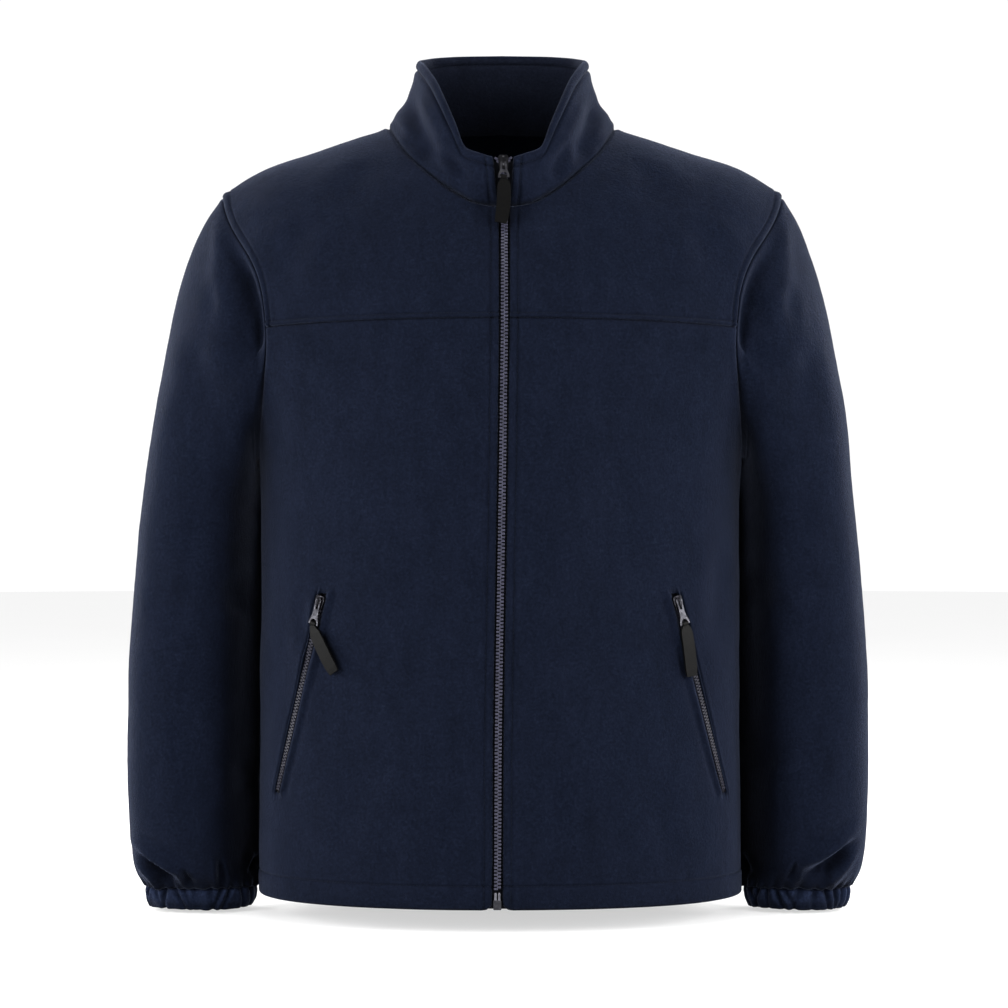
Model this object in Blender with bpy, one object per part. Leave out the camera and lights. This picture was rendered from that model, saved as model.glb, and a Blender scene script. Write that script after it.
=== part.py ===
"""Fleece zip jacket, filled out and hollow, as it hangs on a wearer. Metres, +Z up.

Frame: origin between the shoulders at the height of the neck points, +X across
the chest, the front faces -Y. Every cloth piece is one closed wall, cut from a
smooth worn form: a torso (front and back height fields over x and z), a fan of
sleeve rings around each armhole, and a stand-up collar on the neckline.
"""
import math

import bpy
from mathutils import Matrix, Vector

# ----------------------------------------------------------------- named sizes
WALL = 0.0022            # one layer of fleece
HEM_WALL = 0.0040        # turned-up hem, two layers
COLLAR_WALL = 0.0046     # collar, two layers
CUFF_WALL = 0.0032       # elasticated cuff band
SEAM_GAP = 0.0003        # clear gap between pieces at a seam
Z_HEM = -0.697           # lower edge of the body
HEM_HEIGHT = 0.021       # turned-up allowance
CHEST_W = 0.262          # half width of the torso form at the chest line
CHEST_Z = -0.1822        # chest line (front yoke seam) at centre front
CHEST_DROP = 0.0055      # how far the chest line has dropped at x = 0.21
TORSO_N = 2.2            # superellipse power of the torso's plan
FRONT_D, BACK_D = 0.135, 0.130   # depth of the form at the chest line
NECK_X = 0.104           # half width of the neckline, at the neck points
NECK_BACK_Y = 0.065      # depth of the back neckline
EDGE = 0.0046            # front edge to the zip's middle line
CHAIN_W, CHAIN_PROUD = 0.0064, 0.0004
TAPE_W, TAPE_T = 0.0150, 0.0007
CUFF_HEIGHT = 0.0195
QUARTER = 8              # sections in each quarter of an armhole
COLS = 8                 # columns across a front
BACK_NECK = 8            # columns across the back neckline


def chest_line(x):
    return CHEST_Z - CHEST_DROP * (x / 0.21) ** 2


# ------------------------------------------------- tables (a row per section)
RIDGE = dict(cols=("x", "z"), rows=(      # shoulder line, from the middle out
    (0.000, 0.0365), (0.030, 0.0330), (0.060, 0.0230), (0.085, 0.0105),
    (0.104, 0.0000), (0.132, -0.0095), (0.174, -0.0240), (0.2155, -0.0380),
    (0.2315, -0.0460), (0.243, -0.0530), (0.2525, -0.0600), (0.2562, -0.0635),
    (0.262, -0.0700)))
BODY = dict(cols=("drop", "w", "front", "back"), rows=(   # below the chest line
    (0.000, 0.2620, 0.1350, 0.1300), (0.008, 0.2612, 0.1352, 0.1298),
    (0.027, 0.2520, 0.1358, 0.1285), (0.055, 0.2392, 0.1364, 0.1268),
    (0.087, 0.2268, 0.1368, 0.1250), (0.118, 0.2195, 0.1370, 0.1236),
    (0.160, 0.2176, 0.1370, 0.1222), (0.240, 0.2174, 0.1365, 0.1215),
    (0.340, 0.2182, 0.1355, 0.1230), (0.440, 0.2194, 0.1345, 0.1255),
    (0.520, 0.2200, 0.1335, 0.1270)))
FRONT_ARMHOLE = dict(cols=("s", "x", "z"), rows=(   # s 0 shoulder, 16 underarm
    (0, 0.2562, -0.0635), (1, 0.2525, -0.0765), (2, 0.2465, -0.0900),
    (3, 0.2385, -0.1035), (4, 0.2300, -0.1160), (5, 0.2222, -0.1290),
    (6, 0.2160, -0.1435), (7, 0.2115, -0.1610), (8, 0.2085, chest_line(0.2085)),
    (9, 0.2080, -0.1995), (10, 0.2085, -0.2115), (11, 0.2098, -0.2235),
    (12, 0.2115, -0.2385), (13, 0.2135, -0.2545), (14, 0.2157, -0.2710),
    (15, 0.2178, -0.2875), (16, 0.2195, -0.3020)))
BACK_ARMHOLE = dict(cols=("s", "x", "z"), rows=(
    (0, 0.2562, -0.0635), (1, 0.2552, -0.0765), (2, 0.2530, -0.0905),
    (3, 0.2500, -0.1050), (4, 0.2465, -0.1200), (5, 0.2425, -0.1350),
    (6, 0.2385, -0.1500), (7, 0.2345, -0.1665), (8, 0.2310, chest_line(0.2310)),
    (9, 0.2295, -0.2010), (10, 0.2282, -0.2135), (11, 0.2270, -0.2255),
    (12, 0.2258, -0.2395), (13, 0.2245, -0.2540), (14, 0.2232, -0.2695),
    (15, 0.2215, -0.2860), (16, 0.2195, -0.3020)))
BODY_ROWS = dict(cols=("s", "z"), rows=(   # level rows from the underarm down
    (16, -0.3020), (17, -0.3450), (18, -0.3950), (19, -0.4480), (20, -0.5020),
    (21, -0.5560), (22, -0.6080), (23, -0.6500), (24, -0.6745),
    (25, -0.6775), (26, Z_HEM)))
NECKLINE = dict(cols=("q", "x", "z"), rows=(   # q 0 centre front, 1 neck point
    (0.0, 0.0048, -0.0822), (0.2, 0.0215, -0.0798), (0.4, 0.0440, -0.0680),
    (0.6, 0.0665, -0.0495), (0.8, 0.0880, -0.0270), (1.0, 0.1040, 0.0000)))
ZIP_LINE = dict(cols=("z", "x"), rows=(   # how the front zip wanders
    (-0.700, -0.0040), (-0.640, -0.0036), (-0.560, -0.0032), (-0.480, -0.0022),
    (-0.420, -0.0012), (-0.350, 0.0000), (-0.270, 0.0012), (-0.180, 0.0022),
    (-0.080, 0.0022), (-0.030, 0.0008)))
COLLAR_TOP = dict(cols=("c", "x", "y", "z"), rows=(   # c 0 centre front, 10 back
    (0, 0.0095, -0.1030, -0.0385), (1, 0.0215, -0.1005, -0.0345),
    (2, 0.0332, -0.0950, -0.0292), (3, 0.0428, -0.0850, -0.0070),
    (4, 0.0527, -0.0700, 0.0165), (5, 0.0628, -0.0470, 0.0390),
    (6, 0.0724, -0.0180, 0.0555), (7, 0.0772, 0.0130, 0.0640),
    (8, 0.0695, 0.0450, 0.0705), (9, 0.0420, 0.0665, 0.0755),
    (10, 0.0000, 0.0750, 0.0775)))
COLLAR_BOW = dict(cols=("c", "bow"), rows=(   # swell of the collar's face
    (0, 0.0045), (2, 0.0035), (4, 0.0000), (6, -0.0020), (8, -0.0005),
    (10, 0.0020)))
SLEEVE = dict(   # rings from the armhole to the cuff: outer and inner points
    cols=("k", "ox", "oz", "ix", "iz", "yc", "half", "n", "mix"), rows=(
        (0, 0.2562, -0.0635, 0.2195, -0.3020, -0.010, 0.0775, 2.2, 0.00),
        (1, 0.2735, -0.0930, 0.2236, -0.3085, -0.006, 0.0775, 2.2, 0.10),
        (2, 0.2878, -0.1300, 0.2242, -0.3175, 0.000, 0.0780, 2.2, 0.34),
        (3, 0.2988, -0.1680, 0.2242, -0.3290, 0.006, 0.0790, 2.3, 0.62),
        (4, 0.3085, -0.2140, 0.2242, -0.3440, 0.012, 0.0800, 2.4, 0.86),
        (5, 0.3172, -0.2640, 0.2240, -0.3640, 0.018, 0.0805, 2.5, 1.00),
        (6, 0.3240, -0.3200, 0.2238, -0.3920, 0.023, 0.0800, 2.6, 1.00),
        (7, 0.3318, -0.3850, 0.2236, -0.4300, 0.028, 0.0785, 2.6, 1.00),
        (8, 0.3372, -0.4520, 0.2234, -0.4780, 0.031, 0.0760, 2.6, 1.00),
        (9, 0.3408, -0.5200, 0.2232, -0.5320, 0.032, 0.0730, 2.6, 1.00),
        (10, 0.3416, -0.5820, 0.2232, -0.5850, 0.031, 0.0695, 2.6, 1.00),
        (11, 0.3398, -0.6380, 0.2232, -0.6380, 0.028, 0.0640, 2.5, 1.00),
        (12, 0.3345, -0.6790, 0.2236, -0.6770, 0.025, 0.0510, 2.4, 1.00),
        (13, 0.3250, -0.6950, 0.2250, -0.6950, 0.024, 0.0360, 2.3, 1.00)))
CUFF = dict(cols=("k", "drop", "grow"), rows=(   # rings of the cuff band
    (0, 0.0, -0.0010), (1, 0.5, -0.0014), (2, 1.0, -0.0042)))
POCKET = dict(cols=("v", "left", "right", "z"), rows=(   # v 0 top, 1 bottom
    (0, 0.1577, 0.1537, -0.4270), (1, 0.1992, 0.1998, -0.6000)))
SWAY = dict(cols=("z", "x"), rows=(   # the whole hangs a little to one side
    (-0.720, -0.0038), (-0.450, -0.0037), (-0.350, -0.0032), (-0.250, -0.0018),
    (-0.120, -0.0014), (-0.060, 0.0), (0.080, 0.0)))


class Table:
    """Smooth, monotone lookup (Fritsch-Carlson) of each named column."""

    def __init__(self, data):
        rows = sorted(data["rows"])
        self.key = [row[0] for row in rows]
        self.columns = {}
        for i, name in enumerate(data["cols"][1:], 1):
            values = [row[i] for row in rows]
            self.columns[name] = (values, self._slopes(values))

    def _slopes(self, values):
        k, n = self.key, len(values)
        step = [(values[i + 1] - values[i]) / (k[i + 1] - k[i]) for i in range(n - 1)]
        slopes = [step[0]] + [0.0] * (n - 2) + [step[-1]]
        for i in range(1, n - 1):
            if step[i - 1] * step[i] > 0:
                a, b = k[i + 1] - k[i], k[i] - k[i - 1]
                slopes[i] = 3 * (a + b) / (
                    (2 * a + b) / step[i - 1] + (a + 2 * b) / step[i])
        return slopes

    def __call__(self, name, at):
        values, slopes = self.columns[name]
        k = self.key
        at = min(max(at, k[0]), k[-1])
        i = min(max(sum(1 for v in k if v <= at) - 1, 0), len(k) - 2)
        h = k[i + 1] - k[i]
        t = (at - k[i]) / h
        return ((2 * t ** 3 - 3 * t * t + 1) * values[i]
                + (t ** 3 - 2 * t * t + t) * h * slopes[i]
                + (3 * t * t - 2 * t ** 3) * values[i + 1]
                + (t ** 3 - t * t) * h * slopes[i + 1])


RIDGE_T, BODY_T = Table(RIDGE), Table(BODY)
ARM_T = {"front": Table(FRONT_ARMHOLE), "back": Table(BACK_ARMHOLE)}
ROW_T, NECK_T, ZIP_T = Table(BODY_ROWS), Table(NECKLINE), Table(ZIP_LINE)
TOP_T, BOW_T, SLEEVE_T = Table(COLLAR_TOP), Table(COLLAR_BOW), Table(SLEEVE)
CUFF_T, POCKET_T, SWAY_T = Table(CUFF), Table(POCKET), Table(SWAY)


# --------------------------------------------------------------- torso surface
def plan(x, w, n=TORSO_N):
    return max(0.0, 1.0 - (min(abs(x), w) / w) ** n) ** (1.0 / n)


def powers(x, side):
    if side == "back":
        return 2.0, 1.8
    f = min(abs(x) / 0.2, 1.0)
    return 1.4 + 0.6 * f, 1.25 + 0.45 * f


def above(x, tau, side):
    """Point above the chest line: tau 0 on the chest line, 1 on the ridge."""
    ax = abs(x)
    depth = (FRONT_D if side == "front" else BACK_D) * plan(ax, CHEST_W)
    p, q = powers(x, side)
    y = depth * max(0.0, 1.0 - max(tau, 0.0) ** p) ** (1.0 / q)
    z = chest_line(ax) + tau * (RIDGE_T("z", ax) - chest_line(ax))
    return Vector((x, -y if side == "front" else y, z))


def tau_at(x, z):
    ax = abs(x)
    return (z - chest_line(ax)) / (RIDGE_T("z", ax) - chest_line(ax))


def below(x, z, side):
    drop = max(0.0, chest_line(abs(x)) - z)
    depth = BODY_T(side, drop) * plan(x, BODY_T("w", drop))
    return Vector((x, -depth if side == "front" else depth, z))


def surface(x, z, side="front"):
    if z >= chest_line(abs(x)):
        return above(x, tau_at(x, z), side)
    return below(x, z, side)


def outward(x, z, side="front", step=0.001):
    """Unit normal of the torso form, pointing out of it."""
    dx = surface(x + step, z, side) - surface(x - step, z, side)
    dz = surface(x, z + step, side) - surface(x, z - step, side)
    n = dx.cross(dz).normalized()
    return n if n.y * (-1 if side == "front" else 1) > 0 else -n


def zip_x(z):
    return ZIP_T("x", z)


def spread(xa, xb, u, w=CHEST_W):
    """x between two points, evenly spaced around the plan."""
    ta = math.asin(min(1.0, (max(xa, 0.0) / w)) ** (TORSO_N / 2))
    tb = math.asin(min(1.0, (max(xb, 0.0) / w)) ** (TORSO_N / 2))
    t = ta + (tb - ta) * u
    return w * math.sin(t) ** (2 / TORSO_N)


def arm_point(sign, s, side):
    """A point of the armhole, s 0 at the shoulder and 16 under the arm."""
    x, z = ARM_T[side]("x", s), ARM_T[side]("z", s)
    if s <= 0:
        return above(sign * x, 1.0, side)
    if s < QUARTER:
        return above(sign * x, max(0.0, tau_at(x, z)), side)
    if s >= 2 * QUARTER:
        drop = chest_line(x) - z
        return Vector((sign * BODY_T("w", drop), 0.0, z))
    return below(sign * x, min(z, chest_line(x)), side)


def neck_edge(sign, s):
    """Inner edge of a yoke: s 8 yoke seam, 6 neck at centre front, 0 neck point."""
    if s >= 6:
        f = (8 - s) / 2.0
        z = CHEST_Z + (NECK_T("z", 0) - CHEST_Z) * f
        return sign * zip_x(z) + EDGE, z
    q = 1.0 - s / 6.0
    z = NECK_T("z", q)
    return NECK_T("x", q) + sign * zip_x(z) * (1 - q) * 0.9, z


def yoke_point(sign, s, c):
    """Front yoke, s 0..8 from shoulder seam to yoke seam, c 0 inner, 8 armhole."""
    xa, za = neck_edge(sign, s)
    outer = arm_point(sign, s, "front")
    xb = abs(outer.x)
    u = c / COLS
    ta = 1.0 if s <= 0 else (0.0 if s >= 8 else tau_at(xa, za))
    tb = 1.0 if s <= 0 else (0.0 if s >= 8 else tau_at(xb, outer.z))
    x = spread(xa, xb, u)
    return above(sign * x, ta + (tb - ta) * u, "front")


def front_point(sign, s, c):
    """Lower front, s 8 yoke seam, 16 underarm, 26 hem, c 0 zip edge, 8 side."""
    u = c / COLS
    if s <= 16:
        outer = arm_point(sign, s, "front")
        level = (s - 8) / 8.0
        zc = CHEST_Z + (ROW_T("z", 16) - CHEST_Z) * level
        x = spread(sign * zip_x(zc) + EDGE, abs(outer.x), u,
                   max(abs(outer.x), BODY_T("w", chest_line(abs(outer.x)) - outer.z)))
        if s <= 8:
            return above(sign * x, 0.0, "front")
        z = outer.z + (chest_line(x) - chest_line(abs(outer.x))) * (1 - level)
        if c >= COLS:
            return outer
        return below(sign * x, z, "front")
    z = ROW_T("z", s)
    w = BODY_T("w", chest_line(0.218) - z)
    x = spread(sign * zip_x(z) + EDGE, w, u, w)
    if c >= COLS:
        return Vector((sign * w, 0.0, z))
    return below(sign * x, z, "front")


def back_neck_x(c):
    return -NECK_X * math.cos(math.pi * c / BACK_NECK)


def back_neck_tau(x):
    ax = min(abs(x), NECK_X)
    y = NECK_BACK_Y * plan(ax, NECK_X)
    p, q = powers(x, "back")
    return (1 - (y / (BACK_D * plan(ax, CHEST_W))) ** q) ** (1 / p)


def back_point(s, c):
    """Back, s 0 shoulder seams, 16 underarm, 26 hem; c 0..24 from -X to +X."""
    total = 2 * COLS + BACK_NECK
    side_sign = -1 if c < total / 2 else 1
    if s <= 16:
        outer = arm_point(1, s, "back")
        xo = outer.x
    else:
        xo = BODY_T("w", chest_line(0.218) - ROW_T("z", s))
    if c <= 0 or c >= total:
        if s <= 16:
            return arm_point(side_sign, s, "back")
        return Vector((side_sign * xo, 0.0, ROW_T("z", s)))
    w = CHEST_W if s <= 8 else max(xo, BODY_T("w", max(0.0, chest_line(xo) - (
        outer.z if s <= 16 else ROW_T("z", s)))))
    even = spread(0.0, xo, abs(1 - 2 * c / total), w) * side_sign
    if s >= 8:
        x = even
    else:
        if c <= COLS:
            x = -spread(NECK_X, xo, 1 - c / COLS)
        elif c >= COLS + BACK_NECK:
            x = spread(NECK_X, xo, (c - COLS - BACK_NECK) / COLS)
        else:
            x = back_neck_x(c - COLS)
        x += (even - x) * s / 8.0
    if s < 8:
        tb = 1.0 if s <= 0 else tau_at(xo, outer.z)
        return above(x, tb * (back_neck_tau(x) if abs(x) < NECK_X else 1.0), "back")
    if s <= 8:
        return above(x, 0.0, "back")
    if s <= 16:
        z = outer.z + (chest_line(x) - chest_line(xo)) * (1 - (s - 8) / 8.0)
        return below(x, z, "back")
    return below(x, ROW_T("z", s), "back")


# ---------------------------------------------------------------------- collar
def neck_seam(c):
    """The neckline all round: c 0 left front, 6 and 14 neck points, 20 right."""
    if c <= 6 or c >= 14:
        sign = -1 if c <= 6 else 1
        x, z = neck_edge(sign, 6 - (c if sign < 0 else 20 - c))
        if c in (6, 14):
            return above(sign * NECK_X, 1.0, "front")
        return above(sign * x, tau_at(x, z), "front")
    x = back_neck_x(c - 6)
    return above(x, back_neck_tau(x), "back")


def collar_point(c, h):
    """Outer face of the collar: h 0 on the seam, 1 on the folded top edge."""
    sign, half = (-1, c) if c <= 10 else (1, 20 - c)
    base = neck_seam(c)
    top = Vector((sign * TOP_T("x", half) + zip_x(-0.04) * (1 - half / 10.0),
                  TOP_T("y", half), TOP_T("z", half)))
    out = Vector((base.x + top.x, base.y + top.y + 0.02, 0.0)).normalized()
    return base.lerp(top, h) + out * BOW_T("bow", half) * math.sin(math.pi * h ** 0.8)


# --------------------------------------------------------------------- sleeves
def arm_loop(sign, a):
    """The armhole as a loop: a 0 shoulder, 8 front, 16 underarm, 24 back."""
    a %= 4 * QUARTER
    if a <= 2 * QUARTER:
        return arm_point(sign, a, "front")
    return arm_point(sign, 4 * QUARTER - a, "back")


def superellipse(angle, n):
    ca, sa = math.cos(angle), math.sin(angle)
    return (math.copysign(abs(ca) ** (2 / n), ca),
            math.copysign(abs(sa) ** (2 / n), sa))


def sleeve_point(sign, k, a):
    """Ring k of a sleeve, at station a of 32 round it."""
    t = SLEEVE_T
    o = Vector((t("ox", k), 0, t("oz", k)))
    i = Vector((t("ix", k), 0, t("iz", k)))
    loop = arm_loop(1, a)
    o0 = Vector((t("ox", 0), 0, t("oz", 0)))
    i0 = Vector((t("ix", 0), 0, t("iz", 0)))
    if k <= 0:
        p = loop
    else:
        axis = i0 - o0
        h = (Vector((loop.x, 0, loop.z)) - o0).dot(axis) / axis.length_squared
        shift = o - o0 + (i - i0 - (o - o0)) * h
        from_loop = loop + shift + Vector((0, t("yc", k) - t("yc", 0), 0))
        ca, sa = superellipse(math.pi * a / (2 * QUARTER), t("n", k))
        ring = (o + i) / 2 + (o - i) / 2 * ca
        ring.y = t("yc", k) - t("half", k) * sa
        p = from_loop.lerp(ring, t("mix", k))
    return Vector((sign * p.x, p.y, p.z))


def cuff_point(sign, k, a):
    ring = sleeve_point(sign, SLEEVE["rows"][-1][0], a)
    centre = Vector((sign * (SLEEVE_T("ox", 13) + SLEEVE_T("ix", 13)) / 2,
                     SLEEVE_T("yc", 13), ring.z))
    out = (ring - centre).normalized()
    p = ring + out * CUFF_T("grow", k)
    p.z -= SEAM_GAP + CUFF_HEIGHT * CUFF_T("drop", k)
    return p


# ------------------------------------------------------------- building blocks
def material(name, colour, roughness, metallic=0.0):
    m = bpy.data.materials.new(name)
    m.use_nodes = True
    bsdf = m.node_tree.nodes["Principled BSDF"]
    bsdf.inputs["Base Color"].default_value = (*colour, 1.0)
    bsdf.inputs["Roughness"].default_value = roughness
    bsdf.inputs["Metallic"].default_value = metallic
    m.diffuse_color = (*colour, 1.0)
    return m


def mesh_object(name, points, faces, mat, parent=None, matrix=None):
    """One closed mesh, turned so its faces point out."""
    six = 0.0
    for f in faces:
        for j in range(1, len(f) - 1):
            six += points[f[0]].dot(points[f[j]].cross(points[f[j + 1]]))
    if six < 0:
        faces = [tuple(reversed(f)) for f in faces]
    mesh = bpy.data.meshes.new(name)
    if matrix is None:
        points = [swayed(p) for p in points]
    mesh.from_pydata([tuple(p) for p in points], [], faces)
    mesh.materials.append(mat)
    mesh.shade_smooth()
    mesh.set_sharp_from_angle(angle=math.radians(40))
    obj = bpy.data.objects.new(name, mesh)
    bpy.context.scene.collection.objects.link(obj)
    if matrix is not None:
        obj.matrix_world = matrix
    if parent is not None:
        obj.parent = parent
        obj.matrix_parent_inverse = parent.matrix_world.inverted()
    return obj


def swayed(p):
    """The hang of the filled jacket: sleeves and sides drift, the zip stays."""
    p = p.copy()
    p.x += SWAY_T("x", p.z) * min(1.0, (p.x / 0.33) ** 2)
    return p


def key(p):
    return (round(p.x, 6), round(p.y, 6), round(p.z, 6))


class Panel:
    """A piece of cloth: a grid of points on its outer face, then a wall."""

    def __init__(self, name, grid, wall, ring=False, flip=False):
        self.name, self.grid, self.wall, self.ring = name, grid, wall, ring
        self.flip = flip
        self.rows, self.cols = len(grid), len(grid[0])

    def cells(self):
        last = self.cols if self.ring else self.cols - 1
        for r in range(self.rows - 1):
            for c in range(last):
                yield r, c, (c + 1) % self.cols

    def add_normals(self, store):
        g = self.grid
        for r, c, d in self.cells():
            n = (g[r + 1][d] - g[r][c]).cross(g[r + 1][c] - g[r][d])
            n = -n if self.flip else n
            for p in (g[r][c], g[r][d], g[r + 1][c], g[r + 1][d]):
                store[key(p)] = store.get(key(p), Vector()) + n

    def build(self, store, mat, gaps):
        """gaps: how far each edge (first row, last row, first col, last col)
        draws back from its seam line."""
        R, C, g = self.rows, self.cols, self.grid
        top, bottom, left, right = gaps
        points = []
        for layer in (0, 1):
            depth = [[g[r][c] - store[key(g[r][c])].normalized()
                      * (self.wall(r, c) if layer else 0.0)
                      for c in range(C)] for r in range(R)]
            for r in range(R):
                for c in range(C):
                    p = depth[r][c].copy()
                    for here, there, gap in (
                            (r == 0, (1, c), top), (r == R - 1, (R - 2, c), bottom),
                            (c == 0 and not self.ring, (r, 1), left),
                            (c == C - 1 and not self.ring, (r, C - 2), right)):
                        if here and gap:
                            way = depth[there[0]][there[1]] - depth[r][c]
                            p += way.normalized() * gap
                    points.append(p)
        faces = []
        for r, c, d in self.cells():
            faces.append((r * C + c, r * C + d, (r + 1) * C + d, (r + 1) * C + c))
            b = R * C
            faces.append((b + r * C + c, b + (r + 1) * C + c,
                          b + (r + 1) * C + d, b + r * C + d))
        b = R * C
        for c in range(C if self.ring else C - 1):
            d = (c + 1) % C
            faces.append((c, b + c, b + d, d))
            e = (R - 1) * C
            faces.append((e + c, e + d, b + e + d, b + e + c))
        if not self.ring:
            for r in range(R - 1):
                faces.append((r * C, (r + 1) * C, b + (r + 1) * C, b + r * C))
                e, f = r * C + C - 1, (r + 1) * C + C - 1
                faces.append((e, b + e, b + f, f))
        return mesh_object(self.name, points, faces, mat)


def strip(name, frames, a0, a1, c0, c1, mat):
    """A straight-edged bar swept along frames of (origin, across, out)."""
    points, faces = [], []
    for n, (o, across, out) in enumerate(frames):
        lo, hi = (c0(n), c1(n)) if callable(c0) else (c0, c1)
        for a, c in ((a0, lo), (a1, lo), (a1, hi), (a0, hi)):
            points.append(o + across * a + out * c)
    for n in range(len(frames) - 1):
        for j in range(4):
            k = (j + 1) % 4
            faces.append((4 * n + j, 4 * n + k, 4 * n + 4 + k, 4 * n + 4 + j))
    e = 4 * (len(frames) - 1)
    faces += [(3, 2, 1, 0), (e, e + 1, e + 2, e + 3)]
    return mesh_object(name, points, faces, mat)


def prism(name, outline, hole, c0, c1, mat, matrix, plane="ab"):
    """An outline, with or without a hole of as many corners, given a thickness."""
    def at(p, c):
        return Vector((p[0], p[1], c)) if plane == "ab" else Vector((c, p[0], p[1]))
    n = len(outline)
    points = [at(p, c0) for p in outline] + [at(p, c1) for p in outline]
    faces = [(j, (j + 1) % n, n + (j + 1) % n, n + j) for j in range(n)]
    if hole:
        points += [at(p, c0) for p in hole] + [at(p, c1) for p in hole]
        for j in range(n):
            k = (j + 1) % n
            faces.append((2 * n + j, 3 * n + j, 3 * n + k, 2 * n + k))
            faces.append((j, 2 * n + j, 2 * n + k, k))
            faces.append((n + j, n + k, 3 * n + k, 3 * n + j))
    else:
        faces += [tuple(range(n - 1, -1, -1)), tuple(range(n, 2 * n))]
    return mesh_object(name, points, faces, mat, matrix=matrix)


def join(obj, other):
    """Boolean union of a second shape, which is then only a guide."""
    other.hide_render = True
    other.display_type = "WIRE"
    b = obj.modifiers.new("join_" + other.name, "BOOLEAN")
    b.operation = "UNION"
    b.object = other
    return obj


def arc(cx, cy, r, a0, a1, n):
    return [(cx + r * math.cos(math.radians(a0 + (a1 - a0) * i / n)),
             cy + r * math.sin(math.radians(a0 + (a1 - a0) * i / n)))
            for i in range(n + 1)]


# ------------------------------------------------------------------- the build
for old in list(bpy.data.objects):
    bpy.data.objects.remove(old, do_unlink=True)

FLEECE = material("navy_fleece", (0.012, 0.019, 0.040), 0.95)
TAPE = material("black_tape", (0.010, 0.011, 0.014), 0.85)
TEETH = material("zip_teeth", (0.20, 0.19, 0.22), 0.40)
METAL = material("gunmetal", (0.23, 0.23, 0.25), 0.30, 1.0)
STRAP = material("strap_black", (0.014, 0.015, 0.015), 0.70)


def single(r, c):
    return WALL


def body_wall(first):
    """Wall by row: two layers inside the turned-up hem."""
    def wall(r, c):
        return HEM_WALL if first + r >= 25 else WALL
    return wall


panels = []
for side, sign in (("left", -1), ("right", 1)):
    panels.append((Panel(
        "front_" + side,
        [[front_point(sign, s, c) for c in range(COLS + 1)] for s in range(8, 27)],
        body_wall(8), flip=sign < 0), (0.00018, 0, 0, 0.00018)))
    panels.append((Panel(
        "yoke_" + side,
        [[yoke_point(sign, s, c) for c in range(COLS + 1)] for s in range(0, 9)],
        single, flip=sign < 0), (0.00018, 0.00018, 0.0, 0.0)))
    ring = [[sleeve_point(sign, k, a) for a in range(4 * QUARTER)] for k in range(14)]
    panels.append((Panel("sleeve_" + side, ring, single, ring=True,
                         flip=sign > 0), (0, 0, 0, 0)))
    panels.append((Panel(
        "cuff_" + side,
        [[cuff_point(sign, k, a) for a in range(4 * QUARTER)] for k in range(3)],
        lambda r, c: CUFF_WALL, ring=True, flip=sign > 0), (0, 0, 0, 0)))
panels.append((Panel(
    "back", [[back_point(s, c) for c in range(2 * COLS + BACK_NECK + 1)]
             for s in range(0, 27)],
    body_wall(0)), (0.00018, 0, 0.00018, 0.00018)))
COLLAR_ROWS = (0.0, 0.18, 0.4, 0.62, 0.82, 1.0)
panels.append((Panel(
    "collar", [[collar_point(c, h) for c in range(21)] for h in COLLAR_ROWS],
    lambda r, c: COLLAR_WALL, flip=True), (0.0006, 0, 0, 0)))


def orient(panel):
    """The outer face must look away from the middle of its own hollow."""
    g = panel.grid
    if panel.name.startswith(("sleeve", "cuff")):
        mid = sum((p for row in g for p in row), Vector()) / (panel.rows * panel.cols)
        r = panel.rows // 2
        mid = sum((p for p in g[r]), Vector()) / panel.cols
    else:
        r = panel.rows // 2
        mid = Vector((0, 0, g[r][panel.cols // 2].z))
    c = panel.cols // 2
    n = (g[r + 1][c] - g[r][c - 1]).cross(g[r + 1][c - 1] - g[r][c])
    panel.flip = n.dot(g[r][c] - mid) < 0


normals = {}
for panel, _ in panels:
    orient(panel)
for panel, _ in panels:
    if not panel.name.startswith("cuff"):
        panel.add_normals(normals)
own = {}
for panel, _ in panels:
    if panel.name.startswith("cuff"):
        panel.add_normals(own)
for panel, gaps in panels:
    store = own if panel.name.startswith("cuff") else normals
    if panel.name.startswith(("sleeve", "cuff")):
        flat = {}
        for r, row in enumerate(panel.grid):
            for p in row:
                n = store[key(p)]
                last = r == panel.rows - 1
                if last or panel.name.startswith("cuff"):
                    n = Vector((n.x, n.y, 0.0))   # level ends meet face to face
                flat[key(p)] = n
        store = flat
    obj = panel.build(store, FLEECE, gaps)
    if panel.name.startswith("sleeve"):
        # the whole sleeve stands a seam's gap off the armhole
        way = -1 if panel.name.endswith("left") else 1
        for v in obj.data.vertices:
            if v.index % (panel.rows * panel.cols) < panel.cols:
                low = (v.co.z - SLEEVE_T("oz", 0)) / (
                    SLEEVE_T("iz", 0) - SLEEVE_T("oz", 0))
                v.co.x += way * (0.0004 + 0.0012 * max(0.0, low) ** 2)

# ------------------------------------------------------------ the front zip
def collar_front(sign, h):
    p = collar_point(0 if sign < 0 else 20, h)
    return p


def zip_path():
    """Stations up the front, (origin on the cloth's face, out, depth behind)."""
    stations = []
    for s in [26, 25, 24, 23, 22, 21, 20, 19, 18, 17, 16, 15, 14, 13, 12, 11, 10, 9, 8]:
        a, b = front_point(-1, s, 0), front_point(1, s, 0)
        stations.append(((a + b) / 2, HEM_WALL if s >= 24 else WALL))
    for s in (7, 6.4):
        a, b = yoke_point(-1, s, 0), yoke_point(1, s, 0)
        stations.append(((a + b) / 2, COLLAR_WALL if s < 7 else WALL))
    for h in (0.0, 0.18, 0.4, 0.62, 0.82, 0.93):
        a, b = collar_front(-1, h), collar_front(1, h)
        stations.append(((a + b) / 2, COLLAR_WALL))
    return stations


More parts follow.
